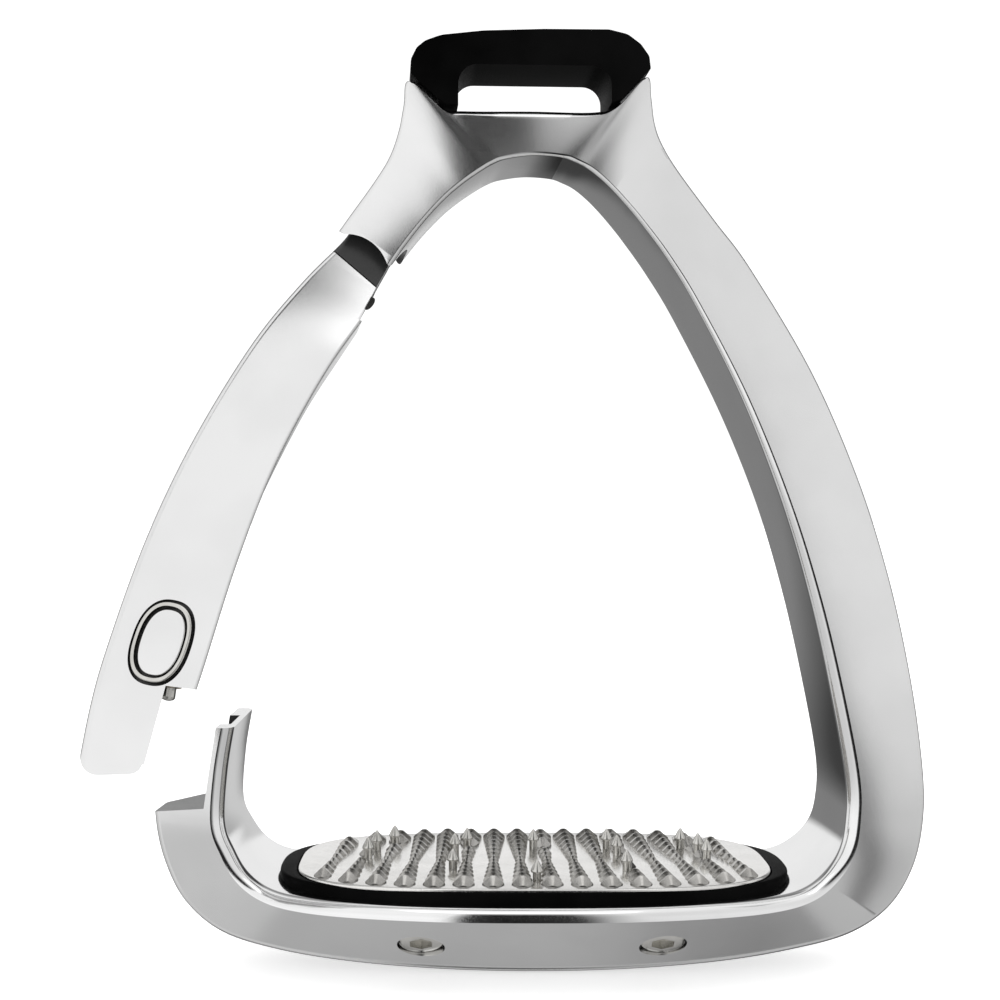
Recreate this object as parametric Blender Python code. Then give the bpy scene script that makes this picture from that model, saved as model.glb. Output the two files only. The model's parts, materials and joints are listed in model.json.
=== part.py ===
"""A safety stirrup iron: an aluminium frame with a turned eyelet, a release arm on an
oblique hinge at the upper left, a spring latch at the arm's foot and a studded tread.

World frame: X to the right, Y away from the front, Z up, metres. The origin is on the
underside of the eyelet bar, where the stirrup leather bears. Outlines are given in
millimetres from the middle of the foot opening, and every object is placed from there.
"""
import math

import bmesh
import bpy
from mathutils import Matrix, Vector

MM = 0.001
GAP = 0.3                    # clearance between neighbouring pieces

# Driving dimensions, millimetres
FOOTBED_Z = -77.4            # top of the base
KEEL_Z = -94.8               # lowest line of the base
BASE_DEPTH = 60.0            # front to back, middle of the base
FILLET = 2.1                 # polished edge between inner face and front face
ARM_FILLET = 0.6             # the same edge on the release arm
OUTER_ROUND = 1.2            # softened outer edges
EYE_TURN = 3.0               # degrees the eyelet is turned about Z
TURN_FROM_Z, TURN_TO_Z = -5.0, 52.0

SLOT_TOP_Z = 88.1            # eyelet slot, as the leather sees it
SLOT_CORNER = 4.0
SLOT_LEFT, SLOT_RIGHT = -15.9, 15.3

HINGE_CENTRE = Vector((-36.9, 0.0, 43.2))
HINGE_AXIS = Vector((-0.72, 0.35, 0.60)).normalized()
REST_ANGLE = 20.5            # degrees the arm stands open in the modelled pose
KNUCKLE_R = 13.5             # ball face between frame and knuckle cover
TONGUE_R, TONGUE_T, NECK_HALF = 4.2, 2.6, 2.4
PIN_R, PIN_FIT = 1.5, 0.05
PIN_FROM, PIN_TO = -4.4, 7.0     # ends of the pin along its axis
WASHER_R, WASHER_T = 4.0, 0.5
WASHER_ROOM = TONGUE_T / 2 + 2 * GAP + WASHER_T
JOINT_AT = Vector((-38.8, 0.0, 44.1))    # on the plane between knuckle cover and arm
TRIM_AT = Vector((-31.1, 0.0, 46.3))     # on the cut that trims the knuckle's inner side
TRIM_NORMAL = Vector((0.868, 0.095, -0.487))
OPEN_FURTHER = 10.0          # degrees the arm still opens past the modelled pose

POST_FOOT = (-66.0, -61.3)   # the post's outer face, foot and top
POST_HEAD = (-63.4, -44.0)
POST_TOP_Z = -45.2
SHELF_SLOPE, SHELF_DROP = 0.154, 2.6   # the shelf falls away outwards and, in degrees, back
TAB_FRONT_Y, TAB_RELIEF = -15.5, 5.2   # the arm's foot rises to the back, degrees

TREAD_TOP_Z, TREAD_T = -74.5, 1.2
TREAD_HALF = (48.2, 26.3)    # tread plate, half length and half depth
TREAD_POWER = 3.2            # squareness of the tread's rounded outline
PAD_HALF = (52.0, 27.2)      # rubber pad under the tread
PAD_POWER = 2.7
PAD_LIP_Z = -75.0
SCREW_AT = Vector((23.7, 18.9, -87.0))   # middle of a screw head, on the sloping face
SCREW_LEAN = 38.5            # degrees the screws lean in from upright
SCREW_HEAD_R, SCREW_HEAD_T, SCREW_SHANK_R, SCREW_LENGTH = 4.4, 2.4, 1.5, 13.4
SCREW_SHIFT = 1.0            # the screws sit off the middle by this much in X
BOSS_R, BOSS_BORE_R = 2.7, 1.7
BOSS_FROM, BOSS_SEAT = 7.4, 6.8          # along a screw: foot of the boss, floor of its seat
STUD_R, STUD_TIP_Z, STUD_SHANK_R, STUD_NECK_R = 1.25, -70.2, 0.7, 0.85
RIDGES, RIDGE_PITCH, RIDGE_LEAN = 16, 5.76, 0.10
RIDGE_FRONT_Y, RIDGE_WAIST_Y, RIDGE_BACK_Y = -24.4, -5.5, 14.0
RIDGE_WIDE, RIDGE_WAIST, RIDGE_HIGH = 4.2, 1.6, 1.5
BADGE_AT = (0.50, -36.4)     # share of the way across the arm's face, and height
BADGE_HALF = (5.7, 7.8)      # half width and half height of the badge's bezel
LATCH_AT = (-62.9, -2.0)     # latch plunger, X and Y, arm closed
LATCH_SLOT_LOW = (-68.0, -9.6, POST_TOP_Z - 1.8)   # the plunger's slot in the post's top
LATCH_SLOT_HIGH = (-61.3, 3.4, POST_TOP_Z + 4.0)

# Each station of the closed ring: inner point, outer point (X, Z), half depth at the
# inner face, half depth at the outer face.
HEAD = [
    ((-29.6, 46.8), (-40.0, 54.6), 9.6, 6.5),
    ((-27.0, 50.6), (-37.6, 58.0), 9.8, 6.5),
    ((-23.6, 55.0), (-33.0, 64.4), 10.2, 6.8),
    ((-20.8, 58.2), (-29.8, 69.6), 10.6, 7.0),
    ((-17.8, 61.2), (-27.9, 75.0), 10.9, 7.2),
    ((-14.6, 63.8), (-26.9, 80.2), 11.2, 7.5),
    ((-11.4, 66.0), (-25.9, 85.0), 11.4, 7.5),
    ((-9.0, 67.4), (-19.4, 79.4), 11.5, 8.9),
    ((-6.4, 68.4), (-14.5, 78.8), 11.5, 9.4),
    ((-1.0, 69.2), (-1.0, 78.8), 11.5, 9.9),
    ((4.6, 68.9), (12.0, 78.9), 11.5, 9.4),
    ((7.4, 68.0), (17.0, 80.6), 11.6, 9.0),
    ((9.8, 66.8), (22.8, 86.4), 11.6, 7.7),
    ((12.4, 64.8), (23.6, 82.0), 11.8, 8.2),
]
BRANCH = [
    ((14.9, 62.4), (24.2, 77.0), 12.0, 8.4),
    ((17.6, 59.4), (25.8, 72.8), 12.2, 7.8),
    ((20.7, 55.6), (29.4, 67.4), 12.5, 6.8),
    ((25.8, 48.6), (37.0, 57.4), 13.0, 6.5),
    ((31.6, 39.0), (44.4, 47.6), 13.5, 6.5),
    ((41.0, 20.0), (56.6, 27.0), 14.8, 6.5),
    ((49.0, -0.8), (65.9, 5.2), 15.4, 6.5),
    ((54.7, -20.4), (72.5, -15.9), 15.5, 6.5),
    ((59.0, -40.0), (77.0, -36.8), 15.5, 6.5),
    ((61.7, -55.6), (79.4, -55.0), 15.5, 6.5),
]
CORNER = [
    ((61.6, -64.0), (79.4, -65.6), 15.8, 6.6),
    ((60.2, -69.4), (77.2, -74.8), 16.8, 7.0),
    ((56.8, -73.6), (72.0, -82.6), 18.4, 8.0),
    ((52.2, -76.3), (63.6, -87.8), 20.3, 9.0),
    ((45.5, -77.3), (51.6, -90.8), 22.8, 9.8),
    ((34.0, FOOTBED_Z), (37.0, -93.0), 26.6, 10.4),
    ((17.0, FOOTBED_Z), (18.5, -94.4), 29.4, 10.8),
    ((0.0, FOOTBED_Z), (0.0, KEEL_Z), BASE_DEPTH / 2, 11.0),
]
LEFT_FOOT = [
    ((-52.2, -76.3), (-63.2, -87.4), 20.3, 9.0),
    ((-56.8, -73.6), (-70.9, -81.4), 18.4, 8.0),
    ((-59.8, -69.4), (-75.2, -73.6), 16.8, 7.0),
    ((-61.9, -64.0), (-77.2, -65.0), 15.8, 6.6),
    ((-61.4, -54.0), (-77.4, -54.0), 15.5, 6.5),
    ((-60.0, POST_TOP_Z), (-76.0, POST_TOP_Z), 15.5, 6.5),
]
ARM = [
    ((-29.6, 46.4), (-40.0, 54.2), 9.6, 6.5),
    ((-31.8, 42.2), (-42.2, 50.0), 10.2, 6.5),
    ((-36.6, 32.4), (-49.0, 40.0), 12.4, 6.5),
    ((-43.0, 18.6), (-57.0, 25.6), 14.6, 6.5),
    ((-49.8, -1.0), (-65.4, 4.6), 15.4, 6.5),
    ((-54.3, -20.4), (-71.4, -16.0), 15.5, 6.5),
    ((-57.6, -40.0), (-75.4, -37.0), 15.5, 6.5),
    ((-59.4, -51.0), (-76.9, -50.0), 15.5, 6.5),
    ((-60.9, -68.0), (-77.4, -68.0), 15.5, 6.5),
]
STUDS = [
    (0.5, 9.0), (0.0, -20.0),
    (-16.5, -10.0), (-16.2, 5.0), (-13.6, 10.2), (16.2, 9.6), (17.8, 3.2), (18.4, -11.0),
    (-34.2, 0.8), (-32.8, 7.8), (-29.2, 12.8), (32.0, 10.0), (35.0, 4.8), (36.0, -1.0),
]
STATION_STEPS = 3            # sections modelled between two listed stations

ORIGIN = Vector((0.0, 0.0, SLOT_TOP_Z))
HINGE_TURN = Matrix.Rotation(math.radians(REST_ANGLE), 4, HINGE_AXIS)
TO_REST = Matrix.Translation(HINGE_CENTRE) @ HINGE_TURN @ Matrix.Translation(-HINGE_CENTRE)


# ---------------------------------------------------------------- helpers

def clear_scene():
    for obj in list(bpy.data.objects):
        bpy.data.objects.remove(obj, do_unlink=True)


def material(name, colour, roughness, metallic):
    mat = bpy.data.materials.new(name)
    mat.use_nodes = True
    shader = mat.node_tree.nodes["Principled BSDF"]
    shader.inputs["Base Color"].default_value = (*colour, 1.0)
    shader.inputs["Roughness"].default_value = roughness
    shader.inputs["Metallic"].default_value = metallic
    return mat


def smooth_step(x):
    x = min(1.0, max(0.0, x))
    return x * x * (3.0 - 2.0 * x)


def turned(point):
    """Turn a point about Z: nothing low on the ring, the full eyelet turn at the top."""
    share = smooth_step((point.z - TURN_FROM_Z) / (TURN_TO_Z - TURN_FROM_Z))
    return Matrix.Rotation(math.radians(EYE_TURN * share), 3, "Z") @ point


HEAD_TURN = Matrix.Rotation(math.radians(EYE_TURN), 4, "Z")


def finish(name, bm, mat, sharp=35.0, visible=True):
    """Turn a bmesh in millimetres into a metre-sized object at the world origin."""
    bmesh.ops.transform(bm, matrix=Matrix.Scale(MM, 4) @ Matrix.Translation(-ORIGIN),
                        verts=bm.verts)
    bmesh.ops.recalc_face_normals(bm, faces=bm.faces)
    mesh = bpy.data.meshes.new(name)
    bm.to_mesh(mesh)
    bm.free()
    mesh.shade_smooth()
    mesh.set_sharp_from_angle(angle=math.radians(sharp))
    obj = bpy.data.objects.new(name, mesh)
    bpy.context.scene.collection.objects.link(obj)
    if mat:
        mesh.materials.append(mat)
    if not visible:
        obj.hide_render = True
        obj.display_type = "WIRE"
    return obj


def boolean(obj, cutter, operation="DIFFERENCE"):
    mod = obj.modifiers.new(cutter.name, "BOOLEAN")
    mod.operation = operation
    mod.object = cutter


def moved(bm, matrix):
    bmesh.ops.transform(bm, matrix=matrix, verts=bm.verts)
    return bm


def skin(sections):
    """Close a row of sections, each with the same number of points, into one solid."""
    bm = bmesh.new()
    rings = [[bm.verts.new(p) for p in section] for section in sections]
    count = len(rings[0])
    for one, two in zip(rings, rings[1:]):
        for k in range(count):
            n = (k + 1) % count
            bm.faces.new((one[k], one[n], two[n], two[k]))
    bm.faces.new(rings[0][::-1])
    bm.faces.new(rings[-1])
    return bm


def prism(outline, low, high, axis="Z"):
    """Extrude an outline: (X, Y) points along Z, or (X, Z) points along Y."""
    def place(a, b, c):
        return Vector((a, b, c)) if axis == "Z" else Vector((a, c, b))
    return skin([[place(a, b, level) for a, b in outline] for level in (low, high)])


def cylinder(radius, start, end, sides=24, end_radius=None):
    start, end = Vector(start), Vector(end)
    along = end - start
    bm = bmesh.new()
    bmesh.ops.create_cone(bm, cap_ends=True, segments=sides, radius1=radius,
                          radius2=radius if end_radius is None else end_radius,
                          depth=along.length)
    turn = along.to_track_quat("Z", "Y").to_matrix().to_4x4()
    return moved(bm, Matrix.Translation((start + end) / 2) @ turn)


def box(low, high):
    bm = bmesh.new()
    bmesh.ops.create_cube(bm, size=1.0)
    size = [b - a for a, b in zip(low, high)]
    middle = [(a + b) / 2 for a, b in zip(low, high)]
    return moved(bm, Matrix.Translation(middle) @ Matrix.Diagonal((*size, 1.0)))


def ball(centre, radius, segments=48):
    bm = bmesh.new()
    bmesh.ops.create_uvsphere(bm, u_segments=segments, v_segments=segments // 2, radius=radius)
    turn = Vector((0, 1, 0)).to_track_quat("Z", "Y").to_matrix().to_4x4()
    return moved(bm, Matrix.Translation(centre) @ turn)


def rounded_outline(points, radius, steps=5):
    """Round each corner of a closed outline with an arc of the given radius."""
    outline = []
    for i, corner in enumerate(points):
        corner = Vector(corner)
        back = (Vector(points[i - 1]) - corner).normalized()
        ahead = (Vector(points[(i + 1) % len(points)]) - corner).normalized()
        half = back.angle(ahead) / 2
        centre = corner + (back + ahead).normalized() * radius / math.sin(half)
        first = corner + back * radius / math.tan(half) - centre
        last = corner + ahead * radius / math.tan(half) - centre
        for k in range(steps + 1):
            way = first.normalized().slerp(last.normalized(), k / steps)
            outline.append(tuple(centre + way * radius))
    return outline


# ---------------------------------------------------------------- ring sections

def section(inner, outer, half_in, half_out, fillet=FILLET):
    """One section of the ring: deep inner face, polished fillets, sloping faces, slim
    outer side. Points run from the front inner edge round the outside to the back."""
    inner = Vector((inner[0], 0, inner[1]))
    outer = Vector((outer[0], 0, outer[1]))
    across = (outer - inner).normalized()
    length = (outer - inner).length
    profile = []
    for k in range(4):
        turn = math.radians(30 * k)
        profile.append((fillet * (1 - math.cos(turn)), half_in - fillet * (1 - math.sin(turn))))
    slope = (half_in - half_out) / length
    profile.append((length - OUTER_ROUND, half_out + slope * OUTER_ROUND))
    profile.append((length - 0.3 * OUTER_ROUND, half_out - 0.3 * OUTER_ROUND))
    profile.append((length, half_out - OUTER_ROUND))
    front = [inner + across * t + Vector((0, -y, 0)) for t, y in profile]
    back = [inner + across * t + Vector((0, y, 0)) for t, y in reversed(profile)]
    return [turned(p) for p in front + back]


def between(stations, steps):
    """Stations with Catmull-Rom sections added between them."""
    rows = [[*inner, *outer, deep, slim] for inner, outer, deep, slim in stations]
    rows = [rows[0]] + rows + [rows[-1]]
    result = []
    for a, b, c, d in zip(rows, rows[1:], rows[2:], rows[3:]):
        for k in range(steps):
            t = k / steps
            result.append([
                0.5 * (2 * q + (r - p) * t + (2 * p - 5 * q + 4 * r - s) * t * t
                       + (3 * q - p - 3 * r + s) * t ** 3)
                for p, q, r, s in zip(a, b, c, d)])
    result.append(rows[-1])
    return [((v[0], v[1]), (v[2], v[3]), v[4], v[5]) for v in result]


def mirrored(stations):
    return [((-i[0], i[1]), (-o[0], o[1]), a, b) for i, o, a, b in reversed(stations)]


def ring_solid(stations, fillet=FILLET):
    return skin([section(*station, fillet) for station in between(stations, STATION_STEPS)])


# ---------------------------------------------------------------- frame

def eyelet_bar(grow=0.0):
    """The metal bar over the slot, which the rubber pad wraps."""
    half, deep = 2.2 + grow, 4.6 + grow
    path = [(-22.3, 81.0), (-22.3, 88.2), (-21.2, 90.4), (-18.8, 91.6),
            (16.6, 91.6), (18.9, 90.4), (19.9, 88.2), (19.9, 81.0)]
    sections = []
    for i, point in enumerate(path):
        here = Vector(point)
        before = (here - Vector(path[max(i - 1, 0)])).normalized()
        after = (Vector(path[min(i + 1, len(path) - 1)]) - here).normalized()
        way = (before + after).normalized()
        across = Vector((-way.y, way.x)) * half / max(0.5, way.dot(after) or way.dot(before))
        sections.append([Vector((here.x + s * across.x, d, here.y + s * across.y))
                         for s, d in ((1, -deep), (1, deep), (-1, deep), (-1, -deep))])
    return moved(skin(sections), HEAD_TURN)


def post_cutter():
    """Clears the room that the arm's tab takes above the shelf, outside the post."""
    (foot_x, foot_z), (head_x, head_z) = POST_FOOT, POST_HEAD
    outline = [(foot_x, foot_z), (foot_x - 30, foot_z - 30 * SHELF_SLOPE),
               (foot_x - 30, head_z + 10), (head_x, head_z + 10), (head_x, head_z)]
    front = Matrix.Translation((0.0, TAB_FRONT_Y, foot_z))
    drop = Matrix.Rotation(-math.radians(SHELF_DROP), 4, "X")
    return moved(prism(outline, -40, 40, axis="Y"), front @ drop @ front.inverted())


def screw_places():
    """Axis frames of the tread screws: origin at the head, Z along the shank, inward."""
    places = []
    for sx in (-1, 1):
        for sy in (-1, 1):
            turn = Matrix.Rotation(math.radians(sy * SCREW_LEAN), 4, "X")
            at = Vector((sx * SCREW_AT.x + SCREW_SHIFT, sy * SCREW_AT.y, SCREW_AT.z))
            places.append(Matrix.Translation(at) @ turn)
    return places


def screw_room(index, place):
    """Head pocket, clearance hole and boss seat for one tread screw."""
    shapes = {"head": cylinder(SCREW_HEAD_R + GAP, (0, 0, -9), (0, 0, SCREW_HEAD_T + GAP)),
              "hole": cylinder(SCREW_SHANK_R + GAP, (0, 0, 0), (0, 0, 16)),
              "boss": cylinder(BOSS_R + GAP, (0, 0, BOSS_SEAT), (0, 0, 20))}
    return [finish(f"cut_{kind}_{index}", moved(bm, place), None, visible=False)
            for kind, bm in shapes.items()]


def knuckle_frame():
    """Axes of the hinge: along the pin, out of the socket, and across both."""
    out = Vector((0.569, 0.0, 0.821))
    out = (out - HINGE_AXIS * out.dot(HINGE_AXIS)).normalized()
    return HINGE_AXIS, out, HINGE_AXIS.cross(out)


def tongue():
    """The frame's hinge tongue: a disc on the pin's axis and a neck into the frame."""
    axis, out, side = knuckle_frame()
    outline = []
    neck = math.acos(NECK_HALF / TONGUE_R)
    for k in range(17):
        turn = math.pi - neck + (math.pi + 2 * neck) * k / 16
        outline.append((TONGUE_R * math.cos(turn), TONGUE_R * math.sin(turn)))
    outline += [(NECK_HALF, KNUCKLE_R + 2.5), (-NECK_HALF, KNUCKLE_R + 2.5)]
    rings = [[HINGE_CENTRE + axis * t + side * a + out * b for a, b in outline]
             for t in (-TONGUE_T / 2, TONGUE_T / 2)]
    return skin(rings)


def make_frame(mat):
    ring = HEAD + BRANCH + CORNER + mirrored(CORNER)[1:4] + LEFT_FOOT
    frame = finish("frame", ring_solid(ring), mat)
    cutters = [
        finish("cut_socket", ball(HINGE_CENTRE, KNUCKLE_R + GAP + 0.1), None, visible=False),
        finish("cut_shelf", post_cutter(), None, visible=False),
        finish("cut_latch", box(LATCH_SLOT_LOW, LATCH_SLOT_HIGH), None, visible=False),
    ]
    for index, place in enumerate(screw_places()):
        cutters += screw_room(index, place)
    for cutter in cutters:
        boolean(frame, cutter)
    for index, bm in enumerate((eyelet_bar(), tongue())):
        boolean(frame, finish(f"join_{index}", bm, None, visible=False), "UNION")
    pin_hole = cylinder(PIN_R + PIN_FIT, HINGE_CENTRE - HINGE_AXIS * TONGUE_T,
                        HINGE_CENTRE + HINGE_AXIS * TONGUE_T)
    boolean(frame, finish("cut_pin_frame", pin_hole, None, visible=False))
    return frame


# ---------------------------------------------------------------- eyelet pad

def pad_outline():
    return rounded_outline([(-26.0, 85.9), (-26.0, 91.6), (-19.8, 94.0), (-10.0, 95.0),
                            (2.0, 95.5), (15.0, 95.6), (22.4, 92.6), (23.6, 87.9),
                            (16.8, 81.5), (12.5, 80.0), (-14.0, 79.5), (-19.2, 80.1)],
                           1.0, steps=3)


def make_pad(mat):
    body = moved(prism(pad_outline(), -8.6, 8.6, axis="Y"), HEAD_TURN)
    pad = finish("eyelet_pad", body, mat)
    slot = rounded_outline([(SLOT_LEFT, 70.0), (SLOT_LEFT, SLOT_TOP_Z), (SLOT_RIGHT, SLOT_TOP_Z),
                            (SLOT_RIGHT, 70.0)], SLOT_CORNER)
    for name, bm in (("cut_pad_slot", moved(prism(slot, -20, 20, axis="Y"), HEAD_TURN)),
                     ("cut_pad_bar", eyelet_bar(GAP))):
        boolean(pad, finish(name, bm, None, visible=False))
    return pad


# ---------------------------------------------------------------- release arm

def joint_plane_block(name, offset, above):
    """A block on one side of the plane between knuckle cover and arm."""
    out = Vector((0.643, 0.0, 0.766))
    place = JOINT_AT + out * offset
    turn = out.to_track_quat("Z", "Y").to_matrix().to_4x4()
    low, high = ((-30, -30, 0), (30, 30, 40)) if above else ((-30, -30, -40), (30, 30, 0))
    bm = moved(box(low, high), Matrix.Translation(place) @ turn)
    return finish(name, moved(bm, TO_REST), None, visible=False)


def tongue_room():
    """The slot in cover and arm that the frame's tongue swings in."""
    axis, out, side = knuckle_frame()
    reach, wide = KNUCKLE_R + 6.0, NECK_HALF + GAP
    last = -math.radians(REST_ANGLE + OPEN_FURTHER + 2.0)
    first = math.radians(2.0)

    def spot(angle, offset, along):
        return (offset * math.cos(angle) + along * math.sin(angle),
                along * math.cos(angle) - offset * math.sin(angle))
    outline = [spot(first + (last - first) * k / 6, 0.0, reach) for k in range(7)]
    outline = [spot(first, wide, reach)] + outline + [spot(last, -wide, reach)]
    round_r = TONGUE_R + GAP
    enter = math.asin(wide / round_r)
    low, high = last - enter, first + enter - 2 * math.pi
    for k in range(13):
        angle = low + (high - low) * k / 12
        outline.append((round_r * math.sin(angle), round_r * math.cos(angle)))
    half = TONGUE_T / 2 + GAP
    wedge = skin([[HINGE_CENTRE + axis * t + side * a + out * b for a, b in outline]
                  for t in (-half, half)])
    return finish("cut_tongue_room", moved(wedge, TO_REST), None, visible=False)


def hinge_stack(low, high, radius, name=None):
    """A round piece on the hinge axis."""
    bm = cylinder(radius, HINGE_CENTRE + HINGE_AXIS * low, HINGE_CENTRE + HINGE_AXIS * high)
    return finish(name, bm, None, visible=False) if name else bm


def inner_trim():
    """A block that trims knuckle and arm flush on the side of the foot opening."""
    turn = TRIM_NORMAL.to_track_quat("Z", "Y").to_matrix().to_4x4()
    block = moved(box((-40, -12, 0), (40, 12, 30)), Matrix.Translation(TRIM_AT) @ turn)
    return finish("cut_inner_trim", block, None, visible=False)


def arm_ring():
    """The swinging side of the ring, closed, from inside the frame's socket to the tab."""
    return ring_solid([((-27.2, 50.2), (-37.9, 57.6), 9.6, 6.5)] + ARM, ARM_FILLET)


def relieved(bm, height):
    """Tilt a closed-pose cutter about the arm's front edge at the given height."""
    edge = Vector((0.0, TAB_FRONT_Y, height))
    return moved(bm, TO_REST @ Matrix.Translation(edge)
                 @ Matrix.Rotation(math.radians(TAB_RELIEF), 4, "X") @ Matrix.Translation(-edge))


def face_frame(share, height):
    """Axes on the arm's front face: X across it, Y along the arm, Z outwards."""
    rows = between(ARM, STATION_STEPS)
    heights = [(inner[1] + outer[1]) / 2 for inner, outer, _, _ in rows]
    index = min(range(len(rows)), key=lambda i: abs(heights[i] - height))

    def edges(station):
        points = section(*station, ARM_FILLET)
        return points[3], points[4]
    (near, far), (near_up, far_up) = edges(rows[index]), edges(rows[index - 1])
    across = (far - near).normalized()
    along = ((near_up + far_up) - (near + far)).normalized()
    normal = along.cross(across).normalized()
    if normal.y > 0:
        normal.negate()
    along = normal.cross(across)
    along = along if along.z > 0 else -along
    here = near.lerp(far, share) + along * (height - heights[index])
    turn = Matrix((across, along, normal)).transposed().to_4x4()
    return TO_REST @ Matrix.Translation(here) @ turn


def oval(half_x, half_y, low, high, power=2.4, count=28):
    outline = []
    for k in range(count):
        c, s = math.cos(2 * math.pi * k / count), math.sin(2 * math.pi * k / count)
        outline.append((math.copysign(abs(c) ** (2 / power), c) * half_x,
                        math.copysign(abs(s) ** (2 / power), s) * half_y))
    return prism(outline, low, high)


def arm_foot_cuts():
    """The foot's underside over the shelf, and the notch over the post."""
    (foot_x, foot_z), (head_x, _) = POST_FOOT, POST_HEAD
    shelf_z = foot_z + GAP
    under = prism([(foot_x + 30, shelf_z + 30 * SHELF_SLOPE), (foot_x + 30, foot_z - 30),
                   (foot_x - 30, foot_z - 30), (foot_x - 30, shelf_z - 30 * SHELF_SLOPE)],
                  -40, 40, axis="Y")
    notch = prism([(foot_x - GAP - 0.3, foot_z - 5), (head_x - GAP - 0.3, POST_TOP_Z + GAP),
                   (-40, POST_TOP_Z + GAP), (-40, foot_z - 5)], -40, 40, axis="Y")
    return (finish("cut_foot", relieved(under, shelf_z), None, visible=False),
            finish("cut_notch", relieved(notch, POST_TOP_Z + GAP), None, visible=False))


def make_arm(mat):
    arm = finish("release_arm", moved(arm_ring(), TO_REST), mat)
    latch_x, latch_y = LATCH_AT
    bore = cylinder(2.6, (latch_x, latch_y, -50), (latch_x, latch_y, -33))
    badge_room = oval(BADGE_HALF[0] + GAP, BADGE_HALF[1] + GAP, -0.8, 4.0)
    boolean(arm, hinge_stack(PIN_FROM - GAP, 14, PIN_R + PIN_FIT, "cut_pin_arm"))
    boolean(arm, hinge_stack(-WASHER_ROOM, WASHER_ROOM, TONGUE_R + GAP, "cut_washer_room"))
    boolean(arm, tongue_room())
    boolean(arm, inner_trim())
    boolean(arm, joint_plane_block("cut_arm_top", -GAP, True))
    for cutter in arm_foot_cuts():
        boolean(arm, cutter)
    boolean(arm, finish("cut_bore", moved(bore, TO_REST), None, visible=False))
    boolean(arm, finish("cut_badge", moved(badge_room, face_frame(*BADGE_AT)), None,
                        visible=False))
    return arm


def make_cover(mat):
    cover = finish("knuckle_cover", moved(arm_ring(), TO_REST), mat)
    boolean(cover, finish("keep_ball", ball(HINGE_CENTRE, KNUCKLE_R), None, visible=False),
            "INTERSECT")
    boolean(cover, joint_plane_block("cut_cover_foot", 0.0, False))
    for name in ("cut_tongue_room", "cut_washer_room", "cut_pin_arm", "cut_inner_trim"):
        boolean(cover, bpy.data.objects[name])
    return cover


# ---------------------------------------------------------------- hinge and latch

def make_hinge_parts(mat):
    pin = hinge_stack(PIN_FROM, PIN_TO, PIN_R)
    finish("hinge_pin", pin, mat)
    for name, side in (("hinge_washer_inner", -1), ("hinge_washer_outer", 1)):
        low = side * (TONGUE_T / 2 + GAP)
        washer = finish(name, hinge_stack(low, low + side * WASHER_T, WASHER_R), mat)
        boolean(washer, hinge_stack(-10, 10, PIN_R + GAP, f"cut_{name}"))


def make_latch(steel, brass):
    x, y = LATCH_AT

    def turned_piece(rings):
        """Stack of (radius, height) rings about the latch axis, arm closed."""
        count = 16
        sections = [[Vector((x + r * math.cos(2 * math.pi * k / count),
                             y + r * math.sin(2 * math.pi * k / count), z))
                     for k in range(count)] for r, z in rings]
        return moved(skin(sections), TO_REST)
    finish("latch_plunger", turned_piece([(0.5, -45.8), (1.1, -45.6), (1.35, -45.2), (1.35, -37.7),
                                          (1.9, -37.7), (1.9, -36.9)]), steel)
    sleeve = finish("latch_sleeve", turned_piece([(2.3, -43.2), (2.3, -38.1)]), brass)
    boolean(sleeve, finish("cut_sleeve", turned_piece([(1.65, -50), (1.65, -36)]), None,
                           visible=False))
    wire, coil, turns, low, high = 0.22, 1.5, 3, -35.0, -33.4
    sections = []
    steps = 12 * turns
    for k in range(steps + 1):
        angle = 2 * math.pi * k / 12
        centre = Vector((coil * math.cos(angle), coil * math.sin(angle),
                         low + (high - low) * k / steps)) + Vector((x, y, 0))
        outward = Vector((math.cos(angle), math.sin(angle), 0))
        sections.append([centre + outward * wire * math.cos(a) + Vector((0, 0, wire * math.sin(a)))
                         for a in (0, math.pi / 3, 2 * math.pi / 3, math.pi, -2 * math.pi / 3,
                                   -math.pi / 3)])
    finish("latch_spring", moved(skin(sections), TO_REST), steel)


def make_badge(bezel_mat, plate_mat):
    place = face_frame(*BADGE_AT)
    wide, tall = BADGE_HALF
    bezel = finish("badge_bezel", moved(oval(wide, tall, -0.5, 0.45), place), bezel_mat)
    boolean(bezel, finish("cut_bezel", moved(oval(wide - 1.2, tall - 1.2, -3, 3), place), None,
                          visible=False))
    finish("badge_plate", moved(oval(wide - 1.5, tall - 1.5, -0.5, 0.2), place), plate_mat)


# ---------------------------------------------------------------- tread

def ridge_x(front_x, y):
    """Ridges lean in towards the middle of the tread as they run to the back."""
    return front_x * (1 - RIDGE_LEAN * (y - RIDGE_FRONT_Y) / (RIDGE_BACK_Y - RIDGE_FRONT_Y))


def ridge_pieces(front_x):
    """Stretches of one ridge, (front, back) in Y, kept clear of the studs."""
    outer = 1 - abs(front_x / (TREAD_HALF[0] - 0.6)) ** TREAD_POWER
    front = max(RIDGE_FRONT_Y, -(TREAD_HALF[1] - 1.0) * max(outer, 0.0) ** (1 / TREAD_POWER))
    edges = [front]
    for x, y in sorted(STUDS, key=lambda stud: stud[1]):
        if abs(ridge_x(front_x, y) - x) < STUD_R + RIDGE_WIDE / 2 + GAP:
            edges += [y - STUD_R - GAP, y + STUD_R + GAP]
    edges.append(RIDGE_BACK_Y)
    return [(a, b) for a, b in zip(edges[::2], edges[1::2]) if b - a > 2.0]


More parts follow.
